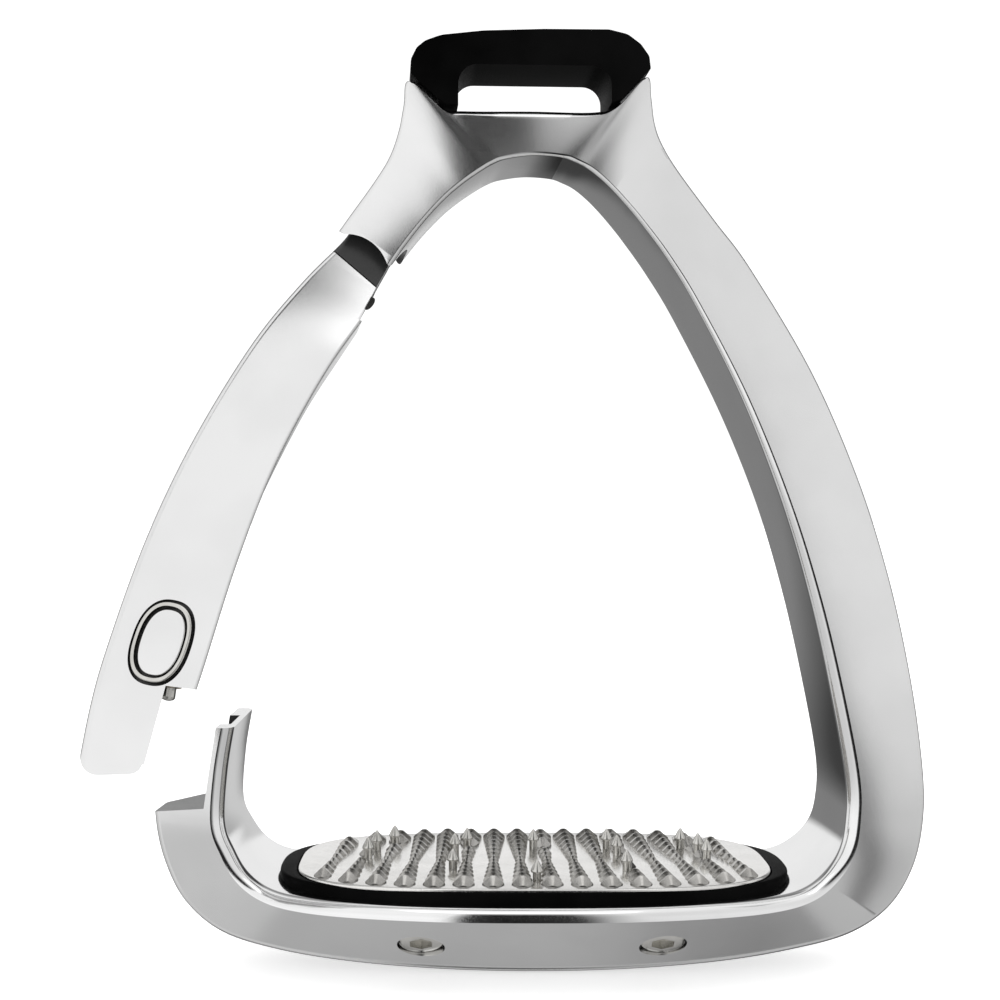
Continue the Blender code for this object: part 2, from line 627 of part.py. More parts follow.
def tread_ridges():
    """All grip ridges: tents that narrow to a waist between their front and back ends."""
    bm = bmesh.new()
    for number in range(RIDGES):
        front_x = (number - (RIDGES - 1) / 2) * RIDGE_PITCH
        for low, high in ridge_pieces(front_x):
            rings = []
            for y in [low] + [RIDGE_WAIST_Y] * (low < RIDGE_WAIST_Y < high) + [high]:
                share = min(1.0, abs(y - RIDGE_WAIST_Y) / (RIDGE_WAIST_Y - RIDGE_FRONT_Y))
                half = (RIDGE_WAIST + (RIDGE_WIDE - RIDGE_WAIST) * share) / 2
                x = ridge_x(front_x, y)
                rings.append([Vector((x + half * a, y, TREAD_TOP_Z + b)) for a, b in
                              ((-1, -0.2), (-0.4, RIDGE_HIGH), (0.4, RIDGE_HIGH), (1, -0.2))])
            verts = [[bm.verts.new(p) for p in ring] for ring in rings]
            for one, two in zip(verts, verts[1:]):
                for k in range(4):
                    n = (k + 1) % 4
                    bm.faces.new((one[k], one[n], two[n], two[k]))
            bm.faces.new(verts[0][::-1])
            bm.faces.new(verts[-1])
    return finish("join_ridges", bm, None, visible=False)


def make_tread(steel, rubber):
    bottom = TREAD_TOP_Z - TREAD_T
    plate = finish("tread_plate", oval(*TREAD_HALF, bottom, TREAD_TOP_Z, TREAD_POWER, 64), steel)
    pad = finish("tread_pad", oval(*PAD_HALF, FOOTBED_Z - 2, PAD_LIP_Z, PAD_POWER, 64), rubber)
    well = oval(TREAD_HALF[0] + GAP, TREAD_HALF[1] + GAP, bottom - GAP, 0, TREAD_POWER, 64)
    boolean(pad, finish("cut_pad_well", well, None, visible=False))
    grown = [((i[0] * (1 - GAP / 60), i[1] + GAP), o, a + 4, b + 4)
             for i, o, a, b in CORNER[1:] + mirrored(CORNER)[1:-1]]
    boolean(pad, finish("cut_pad_foot", ring_solid(grown), None, visible=False))
    above = finish("cut_above_plate", box((-90, -90, TREAD_TOP_Z), (90, 90, 0)), None,
                   visible=False)
    for index, place in enumerate(screw_places()):
        for name, obj, radius, low, high, operation in (
                ("boss", plate, BOSS_R, BOSS_FROM, 17.0, "UNION"),
                ("bore", plate, BOSS_BORE_R, 0.0, SCREW_LENGTH + 0.6, "DIFFERENCE"),
                ("pad_hole", pad, BOSS_R + GAP, 0.0, 20.0, "DIFFERENCE")):
            cutter = finish(f"{name}_{index}", moved(cylinder(radius, (0, 0, low), (0, 0, high)),
                                                     place), None, visible=False)
            boolean(obj, cutter, operation)
    boolean(plate, above)
    boolean(plate, tread_ridges(), "UNION")
    for number, (x, y) in enumerate(STUDS, start=1):
        hole = cylinder(STUD_SHANK_R + GAP, (x, y, bottom - 1), (x, y, 0), 12)
        boolean(plate, finish(f"cut_stud_{number:02d}", hole, None, visible=False))


def make_studs(mat):
    """Screw-in studs: a shank in the plate, a neck, a collar and a sharp tip."""
    foot = TREAD_TOP_Z + GAP
    profile = [(STUD_SHANK_R, TREAD_TOP_Z - TREAD_T + 0.1), (STUD_SHANK_R, foot),
               (STUD_NECK_R, foot), (STUD_NECK_R, foot + 1.5), (STUD_R, foot + 1.8),
               (STUD_R, foot + 2.1), (0.12, STUD_TIP_Z)]
    count = 12
    for number, (x, y) in enumerate(STUDS, start=1):
        sections = [[Vector((x + r * math.cos(2 * math.pi * k / count),
                             y + r * math.sin(2 * math.pi * k / count), z))
                     for k in range(count)] for r, z in profile]
        finish(f"stud_{number:02d}", skin(sections), mat)


def make_screws(mat):
    """Countersunk-head socket screws that hold the tread down from below."""
    for index, place in enumerate(screw_places(), start=1):
        body = cylinder(SCREW_HEAD_R, (0, 0, 0), (0, 0, SCREW_HEAD_T))
        screw = finish(f"tread_screw_{index}", moved(body, place), mat)
        shank = cylinder(SCREW_SHANK_R, (0, 0, SCREW_HEAD_T / 2), (0, 0, SCREW_LENGTH), 16)
        socket = cylinder(2.3, (0, 0, -2), (0, 0, 1.5), 6)
        boolean(screw, finish(f"join_shank_{index}", moved(shank, place), None, visible=False),
                "UNION")
        boolean(screw, finish(f"cut_socket_{index}", moved(socket, place), None, visible=False))


def main():
    clear_scene()
    satin = material("satin_aluminium", (0.80, 0.80, 0.80), 0.32, 1.0)
    rubber = material("black_rubber", (0.02, 0.02, 0.02), 0.6, 0.0)
    charcoal = material("charcoal_plastic", (0.03, 0.03, 0.03), 0.35, 0.0)
    steel = material("polished_steel", (0.62, 0.61, 0.58), 0.25, 1.0)
    grip = material("tread_steel", (0.58, 0.57, 0.55), 0.3, 1.0)
    brass = material("brass", (0.75, 0.58, 0.30), 0.35, 1.0)
    make_frame(satin)
    make_pad(rubber)
    make_arm(satin)
    make_cover(charcoal)
    make_hinge_parts(steel)
    make_latch(steel, brass)
    make_badge(steel, satin)
    make_tread(grip, rubber)
    make_studs(steel)
    make_screws(steel)


main()
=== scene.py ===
"""Looks for the safety stirrup iron: smooth metal, rubber and tread pieces on the CAD frame."""
import json
import math

import bmesh
import bpy
from mathutils import Matrix, Vector


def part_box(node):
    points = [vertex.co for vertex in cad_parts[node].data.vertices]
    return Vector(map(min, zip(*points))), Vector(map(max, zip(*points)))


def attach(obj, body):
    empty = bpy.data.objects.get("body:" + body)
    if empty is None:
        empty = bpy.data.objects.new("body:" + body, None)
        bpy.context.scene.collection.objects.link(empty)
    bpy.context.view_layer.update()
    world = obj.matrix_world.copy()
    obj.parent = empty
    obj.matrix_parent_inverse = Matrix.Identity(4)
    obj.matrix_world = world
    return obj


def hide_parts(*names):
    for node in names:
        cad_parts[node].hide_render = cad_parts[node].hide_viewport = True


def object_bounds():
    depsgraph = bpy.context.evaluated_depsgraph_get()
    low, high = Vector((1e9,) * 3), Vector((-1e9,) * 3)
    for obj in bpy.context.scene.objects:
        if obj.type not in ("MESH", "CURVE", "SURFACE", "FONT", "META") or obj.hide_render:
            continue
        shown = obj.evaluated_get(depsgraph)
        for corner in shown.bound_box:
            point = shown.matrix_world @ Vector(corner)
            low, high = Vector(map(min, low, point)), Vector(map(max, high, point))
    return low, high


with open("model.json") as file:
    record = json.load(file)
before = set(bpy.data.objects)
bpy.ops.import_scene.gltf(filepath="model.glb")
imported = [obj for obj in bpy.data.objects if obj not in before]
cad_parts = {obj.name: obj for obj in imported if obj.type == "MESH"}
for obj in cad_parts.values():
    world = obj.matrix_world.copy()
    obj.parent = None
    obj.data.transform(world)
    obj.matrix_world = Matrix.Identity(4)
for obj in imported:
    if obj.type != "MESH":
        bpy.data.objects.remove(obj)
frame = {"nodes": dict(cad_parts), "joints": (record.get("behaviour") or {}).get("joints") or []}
CAD_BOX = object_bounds()

MM = 0.001
KEEL_Z = -94.8               # lowest line of the base in the outline frame, millimetres
FRAME_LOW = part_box("frame")[0]
ORIGIN_Z = KEEL_Z - FRAME_LOW.z / MM     # outline height of the row's origin
JOINTS = {joint["name"]: joint for joint in frame["joints"]}
HINGE = JOINTS["arm_hinge"]
HINGE_CENTRE = Vector(HINGE["pos_m"]) / MM + Vector((0, 0, ORIGIN_Z))
HINGE_AXIS = Vector(HINGE["axis"]).normalized()
REST_ANGLE = -HINGE["range_deg"][0]
OPEN_FURTHER = HINGE["range_deg"][1]

# All the sizes below are millimetres in the outline frame: X across, Y back, Z up
GAP = 0.3                                # clearance between neighbouring pieces
FOOTBED_Z = -77.4
OUTER_ROUND, SLOT_ROUND = 1.2, 2.4       # edge of the outside, and of the eyelet slot
ARM_FILLET, HEAD_FILLET, FOOT_FILLET = 0.6, 0.8, 2.6
FILLET_FROM_Z, FILLET_OVER = 62.0, 130.0         # the frame's fillet widens over this height
NECK_X = -12.0                           # left of this the neck keeps the narrow fillet
EYE_TURN, TURN_FROM_Z, TURN_TO_Z = 3.0, -5.0, 52.0       # degrees, and where they fade in

# Eyelet: the slot for the leather, where its wide edge fades in, which faces round it are
# polished, which faces under the arch get a darker metal as painted shade, and the bar that
# carries the pad
SLOT_TOP_Z, SLOT_LEFT, SLOT_RIGHT, SLOT_CORNER = 88.1, -15.9, 15.3, 4.0
EDGE_FROM_Z, EDGE_RISE, EDGE_MIDDLE_X, EDGE_HALF, EDGE_FADE = 76.5, 2.0, -1.5, 23.5, 3.0
POLISH_FROM_Z, POLISH_MIDDLE_X, POLISH_HALF = 75.5, -1.2, 19.0
ARCH_FROM_Z, ARCH_TO_X = 44.0, 5.0
BAR_HALF, BAR_DEEP = 2.2, 4.6
BAR_PATH = [(-22.3, 81.0), (-22.3, 88.2), (-21.2, 90.4), (-18.8, 91.6),
            (16.6, 91.6), (18.9, 90.4), (19.9, 88.2), (19.9, 81.0)]
# Corners of the pad's outline, each with its rounding
COVER = [((-25.5, 86.0), 0.6), ((-25.5, 88.9), 2.4), ((-24.3, 91.3), 2.4), ((-22.6, 92.7), 3.0),
         ((-19.4, 93.9), 8.0), ((-10.8, 94.9), 20.0), ((1.5, 95.4), 20.0), ((14.8, 95.5), 4.0),
         ((18.6, 94.6), 3.6), ((21.3, 92.6), 3.0), ((23.0, 90.2), 1.6), ((23.3, 87.6), 0.6),
         ((17.2, 81.3), 1.6), ((13.4, 80.0), 1.8), ((-14.6, 79.6), 1.8), ((-18.9, 80.1), 1.6)]
COVER_DEEP, COVER_SOFT = 8.6, 1.5

# Knuckle: ball socket, tongue, pin, and the planes where cover and arm end
KNUCKLE_R, TONGUE_R, TONGUE_T, NECK_HALF = 13.5, 4.2, 2.6, 2.4
NECK_WAY = Vector((0.569, 0.0, 0.821))   # along the frame's neck, away from the knuckle
SOCKET_EXTRA = 0.1
PIN_R, PIN_FIT, PIN_BELOW, PIN_ABOVE, WASHER_T = 1.5, 0.05, 4.7, 14, 0.5
WASHER_ROOM = TONGUE_T / 2 + 2 * GAP + WASHER_T
JOINT_AT, JOINT_NORMAL = Vector((-38.8, 0.0, 44.1)), Vector((0.643, 0.0, 0.766))
TRIM_AT, TRIM_NORMAL = Vector((-31.1, 0.0, 46.3)), Vector((0.868, 0.095, -0.487))

# Latch end: the frame's post and shelf, and the arm's foot over them
POST_FOOT, POST_HEAD, POST_TOP_Z = (-66.0, -61.3), (-63.4, -44.0), -45.2
SHELF_SLOPE, TAB_FRONT_Y = 0.154, -15.5  # fall of the shelf to the left, front edge of the foot
SHELF_DROP, TAB_RELIEF, NOTCH_RELIEF = 2.6, 5.2, 8.0     # degrees that faces tilt to clear
NOTCH_EXTRA = 0.3
TIP_X, TIP_ROUND, INNER_TIP_ROUND = -77.3, 3.2, 2.2
LATCH_SLOT_LOW = (-68.0, -9.6, POST_TOP_Z - 1.8)
LATCH_SLOT_HIGH = (-61.3, 3.4, POST_TOP_Z + 4.0)
LATCH_AT, LATCH_BORE_R, LATCH_BORE_FROM, LATCH_BORE_TO = (-62.9, -2.0), 2.6, -50, -33

# Badge on the arm: place as (share of the face's width, height), half sizes, and how far the
# ring and the plate stay inside the half sizes
BADGE_AT, BADGE_HALF, BADGE_POWER = (0.50, -36.4), (5.7, 7.8), 2.4
BADGE_ROOM, BADGE_DEEP = 0.45, 1.1
RING_IN, RING_HOLE_IN, PLATE_IN = 0.15, 0.9, 1.5

# Tread, its pad, screws and studs
TREAD_TOP_Z, TREAD_T = -74.5, 1.2
TREAD_HALF, TREAD_POWER = (48.2, 26.3), 3.2
PAD_HALF, PAD_POWER, PAD_LIP_Z = (52.0, 27.2), 2.7, -75.0
SCREW_AT, SCREW_SHIFT, SCREW_LEAN = Vector((23.7, 18.9, -87.0)), 1.0, 38.5
SCREW_HEAD_R, SCREW_HEAD_T, SCREW_SHANK_R, SCREW_LENGTH = 4.4, 2.4, 1.5, 13.4
SOCKET_R, SOCKET_DEEP = 2.5, 1.7
STUD_TIP_R, STUD_TIP_Z = 0.04, -70.2
# (radius, height over the tread) of a stud, up to its tip
STUD = [(0.7, -0.9), (0.7, 0.0), (0.84, 0.02), (0.84, 1.72), (0.90, 1.82), (1.18, 1.92),
        (1.25, 2.05), (1.24, 2.25), (1.1, 2.62), (0.85, 3.1), (0.55, 3.65), (0.24, 4.12)]
RIDGES, RIDGE_PITCH, RIDGE_LEAN = 16, 5.76, 0.12
RIDGE_WIDE, RIDGE_WAIST, RIDGE_HIGH = 5.0, 2.1, 1.9
RIDGE_WAIST_Y, RIDGE_SINK = -3.0, 0.3
RIDGE_NOSE = 1.5                         # length of the sloping front end
RIDGE_MARGIN = 2.2                       # from the tread's edge
RIDGE_SIDE = [(-0.5, 0.0), (-0.47, 0.30), (-0.12, 0.96), (-0.05, 1.0),
              (0.05, 1.0), (0.12, 0.96), (0.47, 0.30), (0.5, 0.0)]
TEETH = 14
TOOTH = [(0.02, 1.0), (0.26, 0.95), (0.84, 0.56), (0.98, 0.50)]     # (share of length, scale)
STUD_NEAR, STUD_CLEAR = 2.4, 1.7         # a ridge this near a stud stops this far from it

# Stations along the ring: (x, z) of the inner face, (x, z) of the outer face, and the half
# depths at the inner and at the outer face
HEAD = [
    ((-29.6, 46.8), (-40.0, 54.6), 9.6, 6.5), ((-27.0, 50.6), (-37.6, 58.0), 9.8, 6.5),
    ((-23.6, 55.0), (-33.0, 64.4), 10.2, 6.8), ((-20.8, 58.2), (-29.8, 69.6), 10.6, 7.0),
    ((-17.8, 61.2), (-27.9, 75.0), 10.9, 7.2), ((-14.6, 63.8), (-26.9, 80.2), 11.2, 7.5),
    ((-11.4, 66.0), (-25.9, 85.0), 11.4, 7.5), ((-9.0, 67.4), (-19.4, 79.4), 11.5, 8.9),
    ((-6.4, 68.4), (-14.5, 78.8), 11.5, 9.4), ((-1.0, 69.2), (-1.0, 78.8), 11.5, 9.9),
    ((4.6, 68.9), (12.0, 78.9), 11.5, 9.4), ((7.4, 68.0), (17.0, 80.6), 11.6, 9.0),
    ((9.8, 66.8), (22.8, 86.4), 11.6, 7.7), ((12.4, 64.8), (23.6, 82.0), 11.8, 8.2),
]
BRANCH = [
    ((14.9, 62.4), (24.2, 77.0), 12.0, 8.4), ((17.6, 59.4), (25.8, 72.8), 12.2, 7.8),
    ((20.7, 55.6), (29.4, 67.4), 12.5, 6.8), ((25.8, 48.6), (37.0, 57.4), 13.0, 6.5),
    ((31.6, 39.0), (44.4, 47.6), 13.5, 6.5), ((41.0, 20.0), (56.6, 27.0), 14.8, 6.5),
    ((49.0, -0.8), (65.9, 5.2), 15.4, 6.5), ((54.7, -20.4), (72.5, -15.9), 15.5, 6.5),
    ((59.0, -40.0), (77.0, -36.8), 15.5, 6.5), ((61.7, -55.6), (79.4, -55.0), 15.5, 6.5),
]
CORNER = [
    ((61.6, -64.0), (79.4, -65.6), 15.8, 6.6), ((60.2, -69.4), (77.2, -74.8), 16.8, 7.0),
    ((56.8, -73.6), (72.0, -82.6), 18.4, 8.0), ((52.2, -76.3), (63.6, -87.8), 20.3, 9.0),
    ((45.5, -77.3), (51.6, -90.8), 22.8, 9.8), ((34.0, FOOTBED_Z), (37.0, -93.0), 26.6, 10.4),
    ((17.0, FOOTBED_Z), (18.5, -94.4), 29.4, 10.8), ((0.0, FOOTBED_Z), (0.0, KEEL_Z), 30.0, 11.0),
]
LEFT_FOOT = [
    ((-52.2, -76.3), (-63.2, -87.4), 20.3, 9.0), ((-56.8, -73.6), (-70.9, -81.4), 18.4, 8.0),
    ((-59.8, -69.4), (-75.2, -73.6), 16.8, 7.0), ((-61.9, -64.0), (-77.2, -65.0), 15.8, 6.6),
    ((-61.4, -54.0), (-77.4, -54.0), 15.5, 6.5),
    ((-60.0, POST_TOP_Z), (-76.0, POST_TOP_Z), 15.5, 6.5),
]
ARM = [
    ((-29.6, 46.4), (-40.0, 54.2), 9.6, 6.5), ((-31.8, 42.2), (-42.2, 50.0), 10.2, 6.5),
    ((-36.6, 32.4), (-49.0, 40.0), 12.4, 6.5), ((-43.0, 18.6), (-57.0, 25.6), 14.6, 6.5),
    ((-49.8, -1.0), (-65.4, 4.6), 15.4, 6.5), ((-54.3, -20.4), (-71.4, -16.0), 15.5, 6.5),
    ((-57.6, -40.0), (-75.4, -37.0), 15.5, 6.5), ((-59.4, -51.0), (-76.9, -50.0), 15.5, 6.5),
    ((-60.9, -68.0), (-77.4, -68.0), 15.5, 6.5),
]
ARM_TOP = ((-27.2, 50.2), (-37.9, 57.6), 9.6, 6.5)       # inside the knuckle
STEPS = 8                    # sections drawn between two listed stations
FILLET_STEPS = 8
ROUND_STEPS = 5

TO_REST = (Matrix.Translation(HINGE_CENTRE)
           @ Matrix.Rotation(math.radians(REST_ANGLE), 4, HINGE_AXIS)
           @ Matrix.Translation(-HINGE_CENTRE))
HEAD_TURN = Matrix.Rotation(math.radians(EYE_TURN), 4, "Z")
# Slots that carry painted shade: DARK in the latch slot and badge recess, the shelf cut's darker
# metal, and ARCH under the arch
SATIN, POLISHED, DARK, CUT_AND_SHADE, ARCH = range(5)     # material slots of the ring pieces
RING_SHARP = 22.0            # degrees between faces that makes an edge on the ring pieces
CUT_REACH, CUT_HALF = 30, 40     # cutters run this far out, and to the front and back


# ---------------------------------------------------------------- materials

def node(tree, kind, **values):
    """New node; values go to its inputs where there is one of that name, or else to it."""
    made = tree.nodes.new(kind)
    for key, value in values.items():
        if key in made.inputs:
            made.inputs[key].default_value = value
        else:
            setattr(made, key, value)
    return made


def noise(tree, scale, detail=2.0):
    """Noise fixed to the object's own coordinates."""
    where = node(tree, "ShaderNodeTexCoord")
    made = node(tree, "ShaderNodeTexNoise", Scale=scale, Detail=detail)
    tree.links.new(where.outputs["Object"], made.inputs["Vector"])
    return made


def spread(tree, source, low, high):
    """Stretch the middle of a noise over the range from low to high."""
    made = node(tree, "ShaderNodeMapRange")
    for key, value in (("From Min", 0.35), ("From Max", 0.65), ("To Min", low), ("To Max", high)):
        made.inputs[key].default_value = value
    tree.links.new(source.outputs["Fac"], made.inputs["Value"])
    return made.outputs["Result"]


def surface(name, dark, light, rough, metallic, grain, bump, tint_scale=60.0,
            specular=0.5):
    """Principled material with mottled colour, uneven gloss and a fine grain bump.

    rough is a (low, high) pair; bump is a (strength, distance) pair.
    """
    mat = bpy.data.materials.new(name)
    mat.use_nodes = True
    tree = mat.node_tree
    shader = tree.nodes["Principled BSDF"]
    shader.inputs["Metallic"].default_value = metallic
    shader.inputs["Specular IOR Level"].default_value = specular
    cloud = noise(tree, tint_scale, 4.0)
    fine = noise(tree, grain)
    mix = node(tree, "ShaderNodeMix", data_type="RGBA")
    mix.inputs["A"].default_value = (*dark, 1.0)
    mix.inputs["B"].default_value = (*light, 1.0)
    tree.links.new(spread(tree, cloud, 0.0, 1.0), mix.inputs["Factor"])
    tree.links.new(mix.outputs["Result"], shader.inputs["Base Color"])
    tree.links.new(spread(tree, fine, *rough), shader.inputs["Roughness"])
    height = node(tree, "ShaderNodeBump", Strength=bump[0], Distance=bump[1])
    tree.links.new(fine.outputs["Fac"], height.inputs["Height"])
    tree.links.new(height.outputs["Normal"], shader.inputs["Normal"])
    return mat


def grey(value):
    return (value, value, value)


def make_materials():
    return {
        "satin": surface("satin_alloy", grey(0.82), grey(0.86), (0.15, 0.21), 1.0, 5200.0,
                         (0.25, 2.0e-5)),
        # Rougher cut finish for the shelf cut, made darker as painted shade in the recess under
        # the foot
        "cut_and_shade": surface("rough_cut_alloy_and_painted_shade", grey(0.16), grey(0.22), (0.34, 0.44), 1.0, 3600.0,
                        (0.35, 4.0e-5)),
        # Painted shade: a darker copy of the alloy for the faces under the arch
        "arch": surface("arch_painted_shade_alloy", grey(0.22), grey(0.27), (0.12, 0.18), 1.0, 3600.0,
                        (0.15, 2.0e-5)),
        "polished": surface("polished_alloy", grey(0.86), grey(0.90), (0.07, 0.13), 1.0, 3000.0,
                            (0.06, 1.0e-5)),
        "rubber": surface("grained_rubber", grey(0.001), grey(0.003), (0.42, 0.58), 0.0, 3800.0,
                          (0.45, 6.0e-5), specular=0.02),
        # Charcoal moulding of the knuckle cover; the same dark also stands as painted shade in
        # the latch slot and the badge recess
        "charcoal": surface("charcoal_moulding_and_painted_shade", grey(0.014), grey(0.022), (0.30, 0.42), 0.0,
                            3200.0, (0.30, 4.0e-5)),
        "steel": surface("turned_steel", (0.60, 0.59, 0.56), (0.70, 0.69, 0.66), (0.16, 0.26),
                         1.0, 2600.0, (0.10, 2.0e-5), 300.0),
        "tread": surface("stamped_steel", (0.80, 0.79, 0.77), (0.88, 0.87, 0.85), (0.14, 0.24),
                         1.0, 2400.0, (0.12, 3.0e-5), 200.0),
        # Painted shade: a darker copy of the tread steel for the serrated ridges
        "ridge": surface("serrated_steel_painted_shade", (0.40, 0.39, 0.37), (0.52, 0.51, 0.49), (0.16, 0.26),
                         1.0, 2400.0, (0.12, 3.0e-5), 200.0),
        "brass": surface("plain_brass", (0.68, 0.50, 0.24), (0.80, 0.62, 0.34), (0.28, 0.40),
                         1.0, 2600.0, (0.10, 2.0e-5), 300.0),
    }


MATERIALS = make_materials()


# ---------------------------------------------------------------- mesh helpers

def build(name, bm, mats, sharp=30.0, hidden=False):
    """Turn a bmesh in outline millimetres into an object in the row frame."""
    to_row = Matrix.Scale(MM, 4) @ Matrix.Translation((0, 0, -ORIGIN_Z))
    bmesh.ops.transform(bm, matrix=to_row, verts=bm.verts)
    bmesh.ops.recalc_face_normals(bm, faces=bm.faces)
    mesh = bpy.data.meshes.new(name)
    bm.to_mesh(mesh)
    bm.free()
    for mat in mats:
        mesh.materials.append(MATERIALS[mat])
    mesh.shade_smooth()
    mesh.set_sharp_from_angle(angle=math.radians(sharp))
    obj = bpy.data.objects.new(name, mesh)
    bpy.context.scene.collection.objects.link(obj)
    obj.hide_render = hidden
    return obj


def baked(obj, sharp):
    """Put an object's modifiers into its mesh."""
    bpy.context.view_layer.update()
    done = obj.evaluated_get(bpy.context.evaluated_depsgraph_get())
    mesh = bpy.data.meshes.new_from_object(done)
    obj.modifiers.clear()
    obj.data = mesh
    mesh.shade_smooth()
    mesh.set_sharp_from_angle(angle=math.radians(sharp))
    return obj


def carve(obj, cuts, sharp=30.0):
    """Apply a list of (bmesh, operation, material slot) Booleans to an object's mesh.

    The cutters carry the object's materials, so that a cut face keeps its slot.
    """
    cutters = []
    for bm, operation, slot in cuts:
        for face in bm.faces:
            face.material_index = slot
        cutter = build("cutter", bm, [], hidden=True)
        for mat in obj.data.materials:
            cutter.data.materials.append(mat)
        mod = obj.modifiers.new("cut", "BOOLEAN")
        mod.operation, mod.object = operation, cutter
        cutters.append(cutter)
    baked(obj, sharp)
    for cutter in cutters:
        bpy.data.objects.remove(cutter, do_unlink=True)
    return obj


def moved(bm, matrix):
    bmesh.ops.transform(bm, matrix=matrix, verts=bm.verts)
    return bm


def skin(sections, slots=None):
    """Close a row of sections into one solid; slots gives each strip's material."""
    bm = bmesh.new()
    rings = [[bm.verts.new(p) for p in part] for part in sections]
    count = len(rings[0])
    for one, two in zip(rings, rings[1:]):
        for k in range(count):
            n = (k + 1) % count
            face = bm.faces.new((one[k], one[n], two[n], two[k]))
            face.material_index = slots[k] if slots else 0
    bm.faces.new(rings[0][::-1])
    bm.faces.new(rings[-1])
    return bm


def prism(outline, half):
    """Extrude an (x, z) outline by half to the front and half to the back."""
    return skin([[Vector((x, y, z)) for x, z in outline] for y in (-half, half)])


def cylinder(radius, start, end, sides=48):
    start, end = Vector(start), Vector(end)
    bm = bmesh.new()
    bmesh.ops.create_cone(bm, cap_ends=True, segments=sides, radius1=radius, radius2=radius,
                          depth=(end - start).length)
    turn = (end - start).to_track_quat("Z", "Y").to_matrix().to_4x4()
    return moved(bm, Matrix.Translation((start + end) / 2) @ turn)


def box(low, high):
    bm = bmesh.new()
    bmesh.ops.create_cube(bm, size=1.0)
    size = [b - a for a, b in zip(low, high)]
    middle = [(a + b) / 2 for a, b in zip(low, high)]
    return moved(bm, Matrix.Translation(middle) @ Matrix.Diagonal((*size, 1.0)))


def ball(centre, radius):
    bm = bmesh.new()
    bmesh.ops.create_icosphere(bm, subdivisions=5, radius=radius)
    return moved(bm, Matrix.Translation(centre))


def lathe(profile, count=40, place=Matrix.Identity(4)):
    """Turn (radius, height) points about Z."""
    rings = [[place @ Vector((r * math.cos(2 * math.pi * k / count),
                              r * math.sin(2 * math.pi * k / count), z))
              for k in range(count)] for r, z in profile]
    return skin(rings)


def rounded(points, radii, steps):
    """Round the corners of a closed outline, each by its own radius."""
    outline = []
    for i, corner in enumerate(points):
        corner = Vector(corner)
        back = (Vector(points[i - 1]) - corner).normalized()
        ahead = (Vector(points[(i + 1) % len(points)]) - corner).normalized()
        half = back.angle(ahead) / 2
        centre = corner + (back + ahead).normalized() * radii[i] / math.sin(half)
        first = (corner + back * radii[i] / math.tan(half) - centre).normalized()
        last = (corner + ahead * radii[i] / math.tan(half) - centre).normalized()
        outline += [tuple(centre + first.slerp(last, k / steps) * radii[i])
                    for k in range(steps + 1)]
    return outline


def oval_points(half_x, half_y, power, count):
    """Superellipse: power 2 is an ellipse, and more is squarer."""
    points = []
    for k in range(count):
        c, s = math.cos(2 * math.pi * k / count), math.sin(2 * math.pi * k / count)
        points.append((math.copysign(abs(c) ** (2 / power), c) * half_x,
                       math.copysign(abs(s) ** (2 / power), s) * half_y))
    return points


def pillow(half_x, half_y, power, levels, count=120, place=Matrix.Identity(4)):
    """Stack of ovals; each level is (inset, height)."""
    return skin([[place @ Vector((x, y, z)) for x, y in
                  oval_points(half_x - inset, half_y - inset, power, count)]
                 for inset, z in levels])


def edge_levels(low, high, radius, steps=4):
    """(inset, height) levels of a slab with rounded top and bottom edges."""
    turns = [math.pi / 2 * k / steps for k in range(steps + 1)]
    bottom = [(radius * (1 - math.sin(t)), low + radius * (1 - math.cos(t))) for t in turns]
    top = [(radius * (1 - math.cos(t)), high - radius * (1 - math.sin(t))) for t in turns]
    return bottom + top


def shown(obj, body, cad_node):
    """Show the piece instead of its CAD node, and let it move with the body."""
    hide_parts(cad_node)
    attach(obj, body)


# ---------------------------------------------------------------- ring sections

def smooth_step(x):
    x = min(1.0, max(0.0, x))
    return x * x * (3.0 - 2.0 * x)


def turned(point):
    """The eyelet is turned a little about the upright axis; the twist fades downwards."""
    share = smooth_step((point.z - TURN_FROM_Z) / (TURN_TO_Z - TURN_FROM_Z))
    return Matrix.Rotation(math.radians(EYE_TURN * share), 3, "Z") @ point


def outer_radius(outer):
    """The eyelet slot has a wide polished edge; the rest of the outside a narrow one."""
    x, z = outer
    above = smooth_step((z - EDGE_FROM_Z) / EDGE_RISE)
    beside = smooth_step((EDGE_HALF - abs(x - EDGE_MIDDLE_X)) / EDGE_FADE)
    return OUTER_ROUND + (SLOT_ROUND - OUTER_ROUND) * (above * beside)


def frame_fillet(inner):
    """The polished edge round the foot opening widens from the eyelet to the base."""
    x, z = inner
    share = smooth_step((FILLET_FROM_Z - z) / FILLET_OVER)
    if x < NECK_X and z > 0.0:
        share = 0.0
    return HEAD_FILLET + (FOOT_FILLET - HEAD_FILLET) * share


def section(inner, outer, half_in, half_out, fillet=None):
    """Front edge of the inner face, round the outside, to the inner face's back edge."""
    edge = outer_radius(outer)
    fillet = fillet or frame_fillet(inner)
    inner, outer = Vector((inner[0], 0, inner[1])), Vector((outer[0], 0, outer[1]))
    across = (outer - inner).normalized()
    length = (outer - inner).length
    slope = (half_in - half_out) / length
    profile = []
    for k in range(FILLET_STEPS + 1):
        turn = math.pi / 2 * k / FILLET_STEPS
        profile.append((fillet * (1 - math.cos(turn)), half_in - fillet * (1 - math.sin(turn))))
    start = half_out + slope * edge
    for k in range(ROUND_STEPS + 1):
        turn = math.pi / 2 * k / ROUND_STEPS
        profile.append((length - edge * (1 - math.sin(turn)),
                        start - (start - half_out + edge) * (1 - math.cos(turn))))
    front = [inner + across * t + Vector((0, -y, 0)) for t, y in profile]
    back = [inner + across * t + Vector((0, y, 0)) for t, y in reversed(profile)]
    return [turned(p) for p in front + back]


def strip_slots(bright):
    """Material slot of each strip of the section: polished fillets and inner face."""
    half = [bright] * FILLET_STEPS + [SATIN] * (1 + ROUND_STEPS)
    return half + [SATIN] + half[::-1] + [bright]


